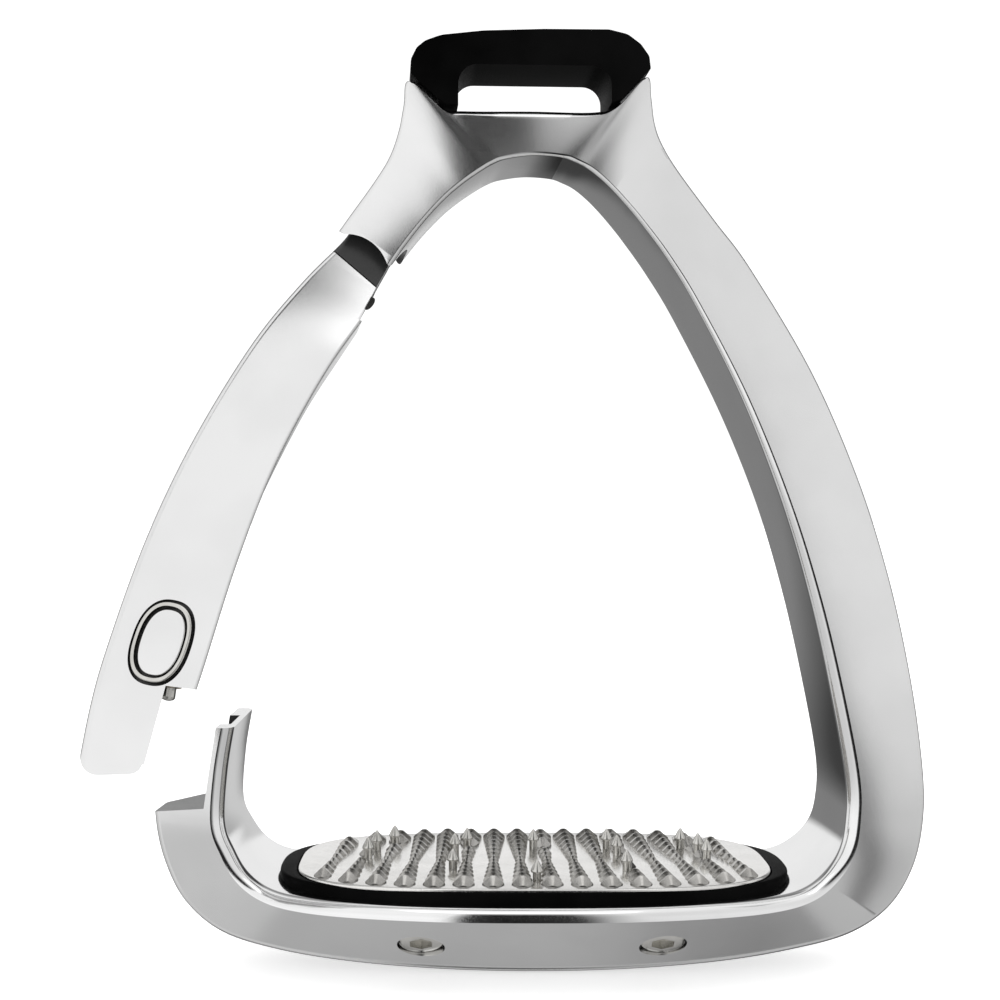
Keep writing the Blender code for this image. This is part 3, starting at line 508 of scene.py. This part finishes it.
def between(stations, steps=STEPS):
    """Stations with Catmull-Rom sections added between them."""
    rows = [[*inner, *outer, deep, slim] for inner, outer, deep, slim in stations]
    rows = [rows[0]] + rows + [rows[-1]]
    result = []
    for a, b, c, d in zip(rows, rows[1:], rows[2:], rows[3:]):
        for k in range(steps):
            t = k / steps
            result.append([0.5 * (2 * q + (r - p) * t + (2 * p - 5 * q + 4 * r - s) * t * t
                                  + (3 * q - p - 3 * r + s) * t ** 3)
                           for p, q, r, s in zip(a, b, c, d)])
    result.append(rows[-1])
    return [((v[0], v[1]), (v[2], v[3]), v[4], v[5]) for v in result]


def mirrored(stations):
    """The same stations on the other side, in reverse order."""
    return [((-i[0], i[1]), (-o[0], o[1]), a, b) for i, o, a, b in reversed(stations)]


def ring_solid(stations, fillet=None, bright=POLISHED):
    """Closed ring, with a polished edge round the eyelet slot and painted shade (a darker metal)
    under the arch.
    """
    rows = between(stations)
    bm = skin([section(*row, fillet) for row in rows], strip_slots(bright))
    bmesh.ops.recalc_face_normals(bm, faces=bm.faces)
    for face in bm.faces:
        middle = face.calc_center_median()
        near_slot = middle.z > POLISH_FROM_Z and abs(middle.x - POLISH_MIDDLE_X) < POLISH_HALF
        if near_slot and abs(face.normal.y) < 0.95:
            face.material_index = bright
        # Painted shade: inward faces under the arch take the darker arch metal
        under_arch = middle.z > ARCH_FROM_Z and middle.x < ARCH_TO_X
        if (bright == POLISHED and under_arch and abs(face.normal.y) < 0.35
                and face.normal.dot(middle) < 0.0):
            face.material_index = ARCH
    return bm


# ---------------------------------------------------------------- frame of the iron

def eyelet_bar(grow=0.0):
    """Bar over the slot, mitred along its path; grow makes it thicker all round."""
    half, deep = BAR_HALF + grow, BAR_DEEP + grow
    sections = []
    for i, point in enumerate(BAR_PATH):
        here = Vector(point)
        before = (here - Vector(BAR_PATH[max(i - 1, 0)])).normalized()
        after = (Vector(BAR_PATH[min(i + 1, len(BAR_PATH) - 1)]) - here).normalized()
        way = (before + after).normalized()
        across = Vector((-way.y, way.x)) * half / max(0.5, way.dot(after) or way.dot(before))
        sections.append([Vector((here.x + s * across.x, d, here.y + s * across.y))
                         for s, d in ((1, -deep), (1, deep), (-1, deep), (-1, -deep))])
    return moved(skin(sections), HEAD_TURN)


def screw_places():
    """Frames of the four screws under the base: Z runs from the head up the shank."""
    places = []
    for sx in (-1, 1):
        for sy in (-1, 1):
            turn = Matrix.Rotation(math.radians(sy * SCREW_LEAN), 4, "X")
            at = Vector((sx * SCREW_AT.x + SCREW_SHIFT, sy * SCREW_AT.y, SCREW_AT.z))
            places.append(Matrix.Translation(at) @ turn)
    return places


def knuckle_axes():
    """The hinge axis, the way out along the neck square to it, and the third direction."""
    out = (NECK_WAY - HINGE_AXIS * NECK_WAY.dot(HINGE_AXIS)).normalized()
    return HINGE_AXIS, out, HINGE_AXIS.cross(out)


def tongue():
    """Round-ended tab of the frame that the pin goes through."""
    axis, out, side = knuckle_axes()
    neck = math.acos(NECK_HALF / TONGUE_R)
    turns = [math.pi - neck + (math.pi + 2 * neck) * k / 32 for k in range(33)]
    outline = [(TONGUE_R * math.cos(turn), TONGUE_R * math.sin(turn)) for turn in turns]
    outline += [(NECK_HALF, KNUCKLE_R + 2.5), (-NECK_HALF, KNUCKLE_R + 2.5)]
    return skin([[HINGE_CENTRE + axis * t + side * a + out * b for a, b in outline]
                 for t in (-TONGUE_T / 2, TONGUE_T / 2)])


def shelf_cut():
    """Room beside the post for the arm's foot, down to the sloping shelf."""
    (foot_x, foot_z), (head_x, head_z) = POST_FOOT, POST_HEAD
    room = prism([(foot_x, foot_z), (foot_x - CUT_REACH, foot_z - CUT_REACH * SHELF_SLOPE),
                  (foot_x - CUT_REACH, head_z + 10), (head_x, head_z + 10), (head_x, head_z)],
                 CUT_HALF)
    front = Matrix.Translation((0.0, TAB_FRONT_Y, foot_z))
    drop = Matrix.Rotation(-math.radians(SHELF_DROP), 4, "X")
    return moved(room, front @ drop @ front.inverted())


def make_frame():
    ring = HEAD + BRANCH + CORNER + mirrored(CORNER)[1:4] + LEFT_FOOT
    obj = build("iron_frame", ring_solid(ring), ["satin", "polished", "charcoal", "cut_and_shade", "arch"],
                RING_SHARP)
    cuts = [(ball(HINGE_CENTRE, KNUCKLE_R + GAP + SOCKET_EXTRA), "DIFFERENCE", SATIN),
            # Shelf cut: rougher cut finish, darker as painted shade in the recess
            (shelf_cut(), "DIFFERENCE", CUT_AND_SHADE),
            # Latch slot faces are charcoal: painted shade inside the slot
            (box(LATCH_SLOT_LOW, LATCH_SLOT_HIGH), "DIFFERENCE", DARK)]
    for place in screw_places():
        head_room = cylinder(SCREW_HEAD_R + GAP, (0, 0, -9), (0, 0, SCREW_HEAD_T + GAP))
        cuts.append((moved(head_room, place), "DIFFERENCE", SATIN))
    cuts += [(eyelet_bar(), "UNION", SATIN), (tongue(), "UNION", POLISHED),
             (cylinder(PIN_R + PIN_FIT, HINGE_CENTRE - HINGE_AXIS * TONGUE_T,
                       HINGE_CENTRE + HINGE_AXIS * TONGUE_T), "DIFFERENCE", POLISHED)]
    shown(carve(obj, cuts, RING_SHARP), "frame", "frame")


# ---------------------------------------------------------------- eyelet cover

def make_eyelet_cover():
    corners, radii = zip(*COVER)
    outline = prism(rounded(corners, radii, 6), COVER_DEEP)
    obj = build("eyelet_cover", moved(outline, HEAD_TURN), ["rubber"])
    slot = rounded([(SLOT_LEFT, 70.0), (SLOT_LEFT, SLOT_TOP_Z), (SLOT_RIGHT, SLOT_TOP_Z),
                    (SLOT_RIGHT, 70.0)], [SLOT_CORNER] * 4, 10)
    carve(obj, [(moved(prism(slot, 20), HEAD_TURN), "DIFFERENCE", 0),
                (eyelet_bar(GAP), "DIFFERENCE", 0)])
    mod = obj.modifiers.new("soft_edge", "BEVEL")
    mod.width, mod.segments = COVER_SOFT * MM, 4
    mod.limit_method, mod.angle_limit = "ANGLE", math.radians(50.0)
    shown(baked(obj, 40.0), "frame", "eyelet_pad")


# ---------------------------------------------------------------- release arm

def joint_block(offset, above):
    """Everything on one side of the plane where cover and arm meet."""
    turn = JOINT_NORMAL.to_track_quat("Z", "Y").to_matrix().to_4x4()
    low, high = ((-30, -30, 0), (30, 30, 40)) if above else ((-30, -30, -40), (30, 30, 0))
    place = Matrix.Translation(JOINT_AT + JOINT_NORMAL * offset)
    return moved(box(low, high), TO_REST @ place @ turn)


def tongue_room():
    """Fan-shaped slot that clears the tongue over the whole swing of the arm."""
    axis, out, side = knuckle_axes()
    reach, wide = KNUCKLE_R + 6.0, NECK_HALF + GAP
    last, first = -math.radians(REST_ANGLE + OPEN_FURTHER + 2.0), math.radians(2.0)

    def spot(angle, offset, along):
        return (offset * math.cos(angle) + along * math.sin(angle),
                along * math.cos(angle) - offset * math.sin(angle))
    outline = [spot(first, wide, reach)]
    outline += [spot(first + (last - first) * k / 6, 0.0, reach) for k in range(7)]
    outline += [spot(last, -wide, reach)]
    round_r = TONGUE_R + GAP
    enter = math.asin(wide / round_r)
    low, high = last - enter, first + enter - 2 * math.pi
    outline += [(round_r * math.sin(low + (high - low) * k / 24),
                 round_r * math.cos(low + (high - low) * k / 24)) for k in range(25)]
    half = TONGUE_T / 2 + GAP
    wedge = skin([[HINGE_CENTRE + axis * t + side * a + out * b for a, b in outline]
                  for t in (-half, half)])
    return moved(wedge, TO_REST)


def arm_ring():
    """The arm's own length of ring, in the open pose."""
    return moved(ring_solid([ARM_TOP] + ARM, ARM_FILLET, SATIN), TO_REST)


def washer_room():
    """Round the pin, room for the tongue's eye and a washer on each side."""
    return cylinder(TONGUE_R + GAP, HINGE_CENTRE - HINGE_AXIS * WASHER_ROOM,
                    HINGE_CENTRE + HINGE_AXIS * WASHER_ROOM)


def inner_trim():
    """Clears the arm's inner corner from the frame when the arm is closed."""
    turn = TRIM_NORMAL.to_track_quat("Z", "Y").to_matrix().to_4x4()
    return moved(box((-40, -12, 0), (40, 12, 30)), Matrix.Translation(TRIM_AT) @ turn)


def relieved(bm, height, relief=TAB_RELIEF):
    """Tilt a closed-pose cutter about the arm's front edge at the given height."""
    edge = Vector((0.0, TAB_FRONT_Y, height))
    return moved(bm, TO_REST @ Matrix.Translation(edge)
                 @ Matrix.Rotation(math.radians(relief), 4, "X") @ Matrix.Translation(-edge))


def corner_cut(corner, one, two, radius, height):
    """Round one lower corner of the foot; one and two point along its edges."""
    corner, one, two = Vector(corner), Vector(one).normalized(), Vector(two).normalized()
    half = one.angle(two) / 2
    centre = corner + (one + two).normalized() * radius / math.sin(half)
    start, end = (corner + way * radius / math.tan(half) for way in (one, two))
    first, last = (start - centre).normalized(), (end - centre).normalized()
    outline = [start - two * 4, start] + [centre + first.slerp(last, k / 8) * radius
                                          for k in range(1, 8)] + [end, end - one * 4]
    outline.append(corner - (one + two) * 4)
    return relieved(prism(outline, CUT_HALF), height)


def foot_cuts():
    """The foot's underside over the shelf, the notch over the post, and round corners."""
    (foot_x, foot_z), (head_x, _) = POST_FOOT, POST_HEAD
    shelf_z, step_z = foot_z + GAP, POST_TOP_Z + GAP
    lean = CUT_REACH * SHELF_SLOPE
    under = prism([(foot_x + CUT_REACH, shelf_z + lean), (foot_x + CUT_REACH, foot_z - 30),
                   (foot_x - CUT_REACH, foot_z - 30), (foot_x - CUT_REACH, shelf_z - lean)],
                  CUT_HALF)
    notch = prism([(foot_x - GAP - NOTCH_EXTRA, foot_z - 5), (head_x - GAP - NOTCH_EXTRA, step_z),
                   (-40, step_z), (-40, foot_z - 5)], CUT_HALF)
    tip = (TIP_X, shelf_z + (TIP_X - foot_x) * SHELF_SLOPE)
    inner_tip = (foot_x - GAP, shelf_z)
    return [relieved(under, shelf_z), relieved(notch, step_z, NOTCH_RELIEF),
            corner_cut(tip, (0.03, 1.0), (1.0, SHELF_SLOPE), TIP_ROUND, shelf_z),
            corner_cut(inner_tip, (0.12, 1.0), (-1.0, -SHELF_SLOPE), INNER_TIP_ROUND, shelf_z)]


def pin_room():
    """Bore for the hinge pin, on the axis the pin has in every pose."""
    return cylinder(PIN_R + PIN_FIT, HINGE_CENTRE - HINGE_AXIS * PIN_BELOW,
                    HINGE_CENTRE + HINGE_AXIS * PIN_ABOVE)


def face_frame(share, height):
    """Axes on the arm's front face: X across it, Y along the arm, Z outwards."""
    rows = between(ARM, 3)
    heights = [(inner[1] + outer[1]) / 2 for inner, outer, _, _ in rows]
    index = min(range(len(rows)), key=lambda i: abs(heights[i] - height))

    def edges(station):
        points = section(*station, ARM_FILLET)
        return points[FILLET_STEPS], points[FILLET_STEPS + 1]
    (near, far), (near_up, far_up) = edges(rows[index]), edges(rows[index - 1])
    across = (far - near).normalized()
    along = ((near_up + far_up) - (near + far)).normalized()
    normal = along.cross(across).normalized()
    if normal.y > 0:
        normal.negate()
    along = normal.cross(across)
    along = along if along.z > 0 else -along
    here = near.lerp(far, share) + along * (height - heights[index])
    turn = Matrix((across, along, normal)).transposed().to_4x4()
    return TO_REST @ Matrix.Translation(here) @ turn


def make_arm():
    obj = build("release_arm_shell", arm_ring(), ["satin", "polished", "charcoal"], RING_SHARP)
    bore = moved(cylinder(LATCH_BORE_R, (*LATCH_AT, LATCH_BORE_FROM),
                          (*LATCH_AT, LATCH_BORE_TO)), TO_REST)
    wide, tall = BADGE_HALF
    recess = pillow(wide + BADGE_ROOM, tall + BADGE_ROOM, BADGE_POWER,
                    [(0, -BADGE_DEEP), (0, 4.0)], 96, face_frame(*BADGE_AT))
    plain = foot_cuts() + [joint_block(-GAP, True), tongue_room(), washer_room()]
    cuts = [(bm, "DIFFERENCE", SATIN) for bm in plain]
    # The badge recess is charcoal: painted shade round the badge
    cuts += [(pin_room(), "DIFFERENCE", POLISHED), (bore, "DIFFERENCE", SATIN),
             (recess, "DIFFERENCE", DARK), (inner_trim(), "DIFFERENCE", SATIN)]
    shown(carve(obj, cuts, RING_SHARP), "arm", "release_arm")


def make_knuckle():
    """Cover with a ball face, cut from the same length of ring as the arm."""
    obj = build("knuckle_shell", arm_ring(), ["charcoal"])
    cuts = [(ball(HINGE_CENTRE, KNUCKLE_R), "INTERSECT", 0)]
    cuts += [(bm, "DIFFERENCE", 0) for bm in (joint_block(0.0, False), tongue_room(),
                                              washer_room(), pin_room(), inner_trim())]
    shown(carve(obj, cuts), "arm", "knuckle_cover")


def make_badge():
    """Plain oval plate in a ring."""
    place = face_frame(*BADGE_AT)

    def oval(inset, levels):
        wide, tall = (half - inset for half in BADGE_HALF)
        return pillow(wide, tall, BADGE_POWER, levels, 96, place)
    ring = build("badge_ring", oval(RING_IN, edge_levels(-0.5, 0.5, 0.3)), ["steel"])
    carve(ring, [(oval(RING_HOLE_IN, [(0, -3), (0, 3)]), "DIFFERENCE", 0)])
    shown(ring, "arm", "badge_bezel")
    face = build("badge_face", oval(PLATE_IN, edge_levels(-0.5, 0.15, 0.2)), ["satin"])
    shown(face, "arm", "badge_plate")


# ---------------------------------------------------------------- tread

def stud_spots():
    """Name, x and y of every stud in the frame record."""
    spots = []
    for name in sorted(frame["nodes"]):
        if name.startswith("stud_"):
            low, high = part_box(name)
            middle = (low + high) / 2 / MM
            spots.append((name, middle.x, middle.y))
    return spots


def ridge_sections(x, y_from, y_to, half_reach):
    """Serrated tent along Y: wide at both ends of the tread and waisted in the middle."""
    sections = []

    def add(y, scale):
        share = min(1.0, abs(y - RIDGE_WAIST_Y) / half_reach) ** 0.9
        wide = (RIDGE_WAIST + (RIDGE_WIDE - RIDGE_WAIST) * share) * (0.5 + 0.5 * scale)
        high = RIDGE_HIGH * scale * (0.62 + 0.38 * share)
        base = TREAD_TOP_Z - RIDGE_SINK
        middle = x * (1 - RIDGE_LEAN * (y + half_reach) / (2 * half_reach))
        sections.append([Vector((middle + wide * a, y, base + (high + RIDGE_SINK) * b))
                         for a, b in RIDGE_SIDE])
    add(y_from, 0.12)
    start = y_from + RIDGE_NOSE
    count = max(1, round((y_to - start) * TEETH / (2 * half_reach)))
    step = (y_to - start) / count
    for k in range(count):
        for share, scale in TOOTH:
            add(start + step * (k + share), scale)
    return sections


def join(parts):
    """Put several bmeshes into one, as separate closed shells."""
    whole = bmesh.new()
    for part in parts:
        mesh = bpy.data.meshes.new("part")
        part.to_mesh(mesh)
        part.free()
        whole.from_mesh(mesh)
        bpy.data.meshes.remove(mesh)
    return whole


def ridge_parts(x, studs, half_reach):
    """One ridge across the tread, in pieces that stop short of the studs."""
    half_x, half_y = TREAD_HALF
    reach = (half_y - 1.6) * (1 - abs(x / half_x) ** TREAD_POWER) ** (1 / TREAD_POWER)
    reach = min(reach, half_reach)
    lean = RIDGE_LEAN * x / (2 * reach)
    gaps = sorted(y for _, stud_x, y in studs
                  if abs(stud_x - x + lean * (y + reach)) < STUD_NEAR)
    edges = [-reach] + [e for y in gaps for e in (y - STUD_CLEAR, y + STUD_CLEAR)] + [reach]
    return [skin(ridge_sections(x, low, high, half_reach))
            for low, high in zip(edges[::2], edges[1::2]) if high - low > RIDGE_NOSE]


def make_tread():
    bottom = TREAD_TOP_Z - TREAD_T
    parts = [pillow(*TREAD_HALF, TREAD_POWER, edge_levels(bottom, TREAD_TOP_Z, 0.45), 160)]
    studs = stud_spots()
    for i in range(RIDGES):
        x = (i - (RIDGES - 1) / 2) * RIDGE_PITCH
        for ridge in ridge_parts(x, studs, TREAD_HALF[1] - RIDGE_MARGIN):
            # Ridges take the darker steel as painted shade on the serrations
            for face in ridge.faces:
                face.material_index = 1
            parts.append(ridge)
    deck = build("tread_deck", join(parts), ["tread", "ridge"], 25.0)
    shown(deck, "frame", "tread_plate")


def make_tread_pad():
    lips = edge_levels(FOOTBED_Z - 0.4, PAD_LIP_Z, 0.5)
    mat = build("tread_mat", pillow(*PAD_HALF, PAD_POWER, lips, 160), ["rubber"])
    well = pillow(TREAD_HALF[0] + GAP, TREAD_HALF[1] + GAP, TREAD_POWER,
                  [(0, TREAD_TOP_Z - TREAD_T - GAP), (0, 0)], 160)
    carve(mat, [(well, "DIFFERENCE", 0)])
    shown(mat, "frame", "tread_pad")


def make_studs():
    profile = [(radius, TREAD_TOP_Z + height) for radius, height in STUD]
    profile.append((STUD_TIP_R, STUD_TIP_Z))
    for name, x, y in stud_spots():
        spike = build(name.replace("stud", "spike"),
                      lathe(profile, 36, Matrix.Translation((x, y, 0))), ["steel"], 40.0)
        shown(spike, "frame", name)


def make_screws():
    """Socket screws with a domed edge and a hexagonal recess, under the base."""
    r, t = SCREW_HEAD_R, SCREW_HEAD_T
    profile = [(0.05, 0.0), (r - 0.7, 0.0), (r - 0.35, 0.08), (r - 0.1, 0.3), (r, 0.6), (r, t),
               (SCREW_SHANK_R, t), (SCREW_SHANK_R, SCREW_LENGTH - 0.4),
               (SCREW_SHANK_R - 0.4, SCREW_LENGTH)]
    for index, place in enumerate(screw_places(), start=1):
        screw = build(f"socket_screw_{index}", lathe(profile, 48, place), ["steel"])
        hexagon = moved(cylinder(SOCKET_R, (0, 0, -2), (0, 0, SOCKET_DEEP), 6), place)
        carve(screw, [(hexagon, "DIFFERENCE", 0)])
        shown(screw, "frame", f"tread_screw_{index}")


# ---------------------------------------------------------------- kept CAD nodes

def dress_cad_nodes():
    for name, mat in (("hinge_pin", "steel"), ("hinge_washer_inner", "steel"),
                      ("hinge_washer_outer", "steel"), ("latch_plunger", "steel"),
                      ("latch_spring", "steel"), ("latch_sleeve", "brass")):
        data = frame["nodes"][name].data
        data.materials.clear()
        data.materials.append(MATERIALS[mat])
        data.shade_smooth()
        data.set_sharp_from_angle(angle=math.radians(30.0))


# ---------------------------------------------------------------- studio

SURROUNDINGS, FLOOR_GLOW = 1.12, 0.5     # brightness of the white around the iron
# Brightness the metal mirrors, by compass direction in degrees: 0 is the front, + the right
AROUND = [(-180, 0.30), (-150, 0.30), (-136, 0.10), (-126, 0.90), (-60, 1.06), (-13, 1.06),
          (-8, 0.03), (0, 0.01), (7, 0.03), (13, 0.50), (22, 0.86), (62, 0.88), (70, 0.86),
          (74, 0.22), (79, 0.22), (83, 0.90), (116, 0.80), (124, 0.05), (158, 0.05),
          (166, 0.30), (180, 0.30)]
# It is multiplied by a value for the height: -1 is straight down, 1 straight up
UPWARD = [(-1.0, 0.60), (-0.50, 0.64), (-0.30, 0.62), (-0.15, 0.82), (0.0, 0.95), (0.3, 0.98),
          (0.6, 0.90), (1.0, 0.95)]
STEEP = (0.75, 0.95)         # over this range of height the compass direction fades out
# Straight behind the iron the brighter of two values counts: by height, and by how far right
BEHIND = [(-1.0, 0.05), (-0.22, 0.05), (-0.14, 0.22), (-0.03, 0.22), (0.04, 0.90), (1.0, 0.90)]
BEHIND_RIGHT = [(-1.0, 0.0), (0.0, 0.0), (0.05, 0.45), (0.12, 0.62), (0.20, 0.62), (0.30, 0.45),
                (1.0, 0.40)]
STRAIGHT_BEHIND = (0.80, 0.93)       # range of the direction's Y where that takes over
CAMERA_AT = (-0.01407, -0.330, -ORIGIN_Z * MM)
SENSOR, LENS, SHIFT_X = 36.0, 57.17, 0.035


def make_floor():
    """Pale floor that the metal does not mirror."""
    mat = surface("pale_floor", grey(0.90), grey(0.93), (0.6, 0.7), 0.0, 300.0,
                  (0.02, 1.0e-5), 4.0)
    shader = mat.node_tree.nodes["Principled BSDF"]
    shader.inputs["Emission Color"].default_value = (1, 1, 1, 1)
    shader.inputs["Emission Strength"].default_value = FLOOR_GLOW
    bm = bmesh.new()
    bmesh.ops.create_grid(bm, x_segments=1, y_segments=1, size=6.0)
    mesh = bpy.data.meshes.new("floor")
    bm.to_mesh(mesh)
    bm.free()
    mesh.materials.append(mat)
    floor = bpy.data.objects.new("floor", mesh)
    floor.location.z = CAD_BOX[0].z - 0.0005
    floor.visible_glossy = False
    bpy.context.scene.collection.objects.link(floor)


def ramp(tree, source, stops, low, high):
    """Colour ramp over a value that runs from low to high."""
    where = node(tree, "ShaderNodeMapRange")
    where.inputs["From Min"].default_value, where.inputs["From Max"].default_value = low, high
    tree.links.new(source, where.inputs["Value"])
    made = node(tree, "ShaderNodeValToRGB")
    band = made.color_ramp
    for at, value in stops[1:-1]:
        band.elements.new((at - low) / (high - low)).color = (value, value, value, 1.0)
    for element, (at, value) in ((band.elements[0], stops[0]), (band.elements[-1], stops[-1])):
        element.color = (value, value, value, 1.0)
    tree.links.new(where.outputs["Result"], made.inputs["Fac"])
    return made.outputs["Color"]


def plug(tree, slot, source):
    """Set an input to a number, or link it."""
    if isinstance(source, (int, float)):
        slot.default_value = source
    else:
        tree.links.new(source, slot)


def maths(tree, operation, *sources):
    made = node(tree, "ShaderNodeMath", operation=operation)
    for slot, source in zip(made.inputs, sources):
        plug(tree, slot, source)
    return made.outputs["Value"]


def fade(tree, source, low, high):
    """0 below low, 1 above high, and a smooth step between."""
    made = node(tree, "ShaderNodeMapRange", interpolation_type="SMOOTHSTEP")
    made.inputs["From Min"].default_value, made.inputs["From Max"].default_value = low, high
    tree.links.new(source, made.inputs["Value"])
    return made.outputs["Result"]


def blend(tree, factor, one, two):
    made = node(tree, "ShaderNodeMix", data_type="FLOAT")
    for key, source in (("Factor", factor), ("A", one), ("B", two)):
        plug(tree, made.inputs[key], source)
    return made.outputs["Result"]


def make_world():
    """White surroundings for the eye, and a ring of soft boxes and dark gaps for gloss."""
    world = bpy.data.worlds.new("studio")
    bpy.context.scene.world = world
    world.use_nodes = True
    tree = world.node_tree
    direction = node(tree, "ShaderNodeTexCoord")
    axes = node(tree, "ShaderNodeSeparateXYZ")
    tree.links.new(direction.outputs["Generated"], axes.inputs["Vector"])
    x, y, z = (axes.outputs[k] for k in "XYZ")
    compass = maths(tree, "MULTIPLY",
                    maths(tree, "ARCTAN2", x, maths(tree, "MULTIPLY", y, -1.0)), 180 / math.pi)
    around = ramp(tree, compass, AROUND, -180.0, 180.0)
    upward = ramp(tree, z, UPWARD, -1.0, 1.0)
    level = blend(tree, fade(tree, maths(tree, "ABSOLUTE", z), *STEEP), around, 1.0)
    behind = maths(tree, "MAXIMUM", ramp(tree, z, BEHIND, -1.0, 1.0),
                   ramp(tree, x, BEHIND_RIGHT, -1.0, 1.0))
    mirror = blend(tree, fade(tree, y, *STRAIGHT_BEHIND),
                   maths(tree, "MULTIPLY", level, upward), behind)
    path = node(tree, "ShaderNodeLightPath")
    shade = blend(tree, path.outputs["Is Glossy Ray"], SURROUNDINGS, mirror)
    background = tree.nodes["Background"]
    background.inputs["Color"].default_value = (1, 1, 1, 1)
    tree.links.new(shade, background.inputs["Strength"])


def area_light(name, place, size, power):
    data = bpy.data.lights.new(name, "AREA")
    data.shape, data.size, data.size_y, data.energy = "RECTANGLE", size[0], size[1], power
    light = bpy.data.objects.new(name, data)
    light.location = place
    middle = (CAD_BOX[0] + CAD_BOX[1]) / 2
    light.rotation_euler = (middle - Vector(place)).to_track_quat("-Z", "Y").to_euler()
    bpy.context.scene.collection.objects.link(light)


def make_camera():
    data = bpy.data.cameras.new("camera")
    data.sensor_width, data.lens, data.shift_x = SENSOR, LENS, SHIFT_X
    data.clip_start, data.clip_end = 0.01, 50.0
    camera = bpy.data.objects.new("camera", data)
    camera.location = CAMERA_AT
    camera.rotation_euler = (math.pi / 2, 0, 0)
    bpy.context.scene.collection.objects.link(camera)
    bpy.context.scene.camera = camera


make_frame()
make_eyelet_cover()
make_arm()
make_knuckle()
make_badge()
make_tread()
make_tread_pad()
make_studs()
make_screws()
dress_cad_nodes()
make_floor()
make_world()
area_light("top", (0.0, -0.35, 0.9), (0.6, 0.3), 0.3)
make_camera()
bpy.context.scene.view_settings.view_transform = "Standard"
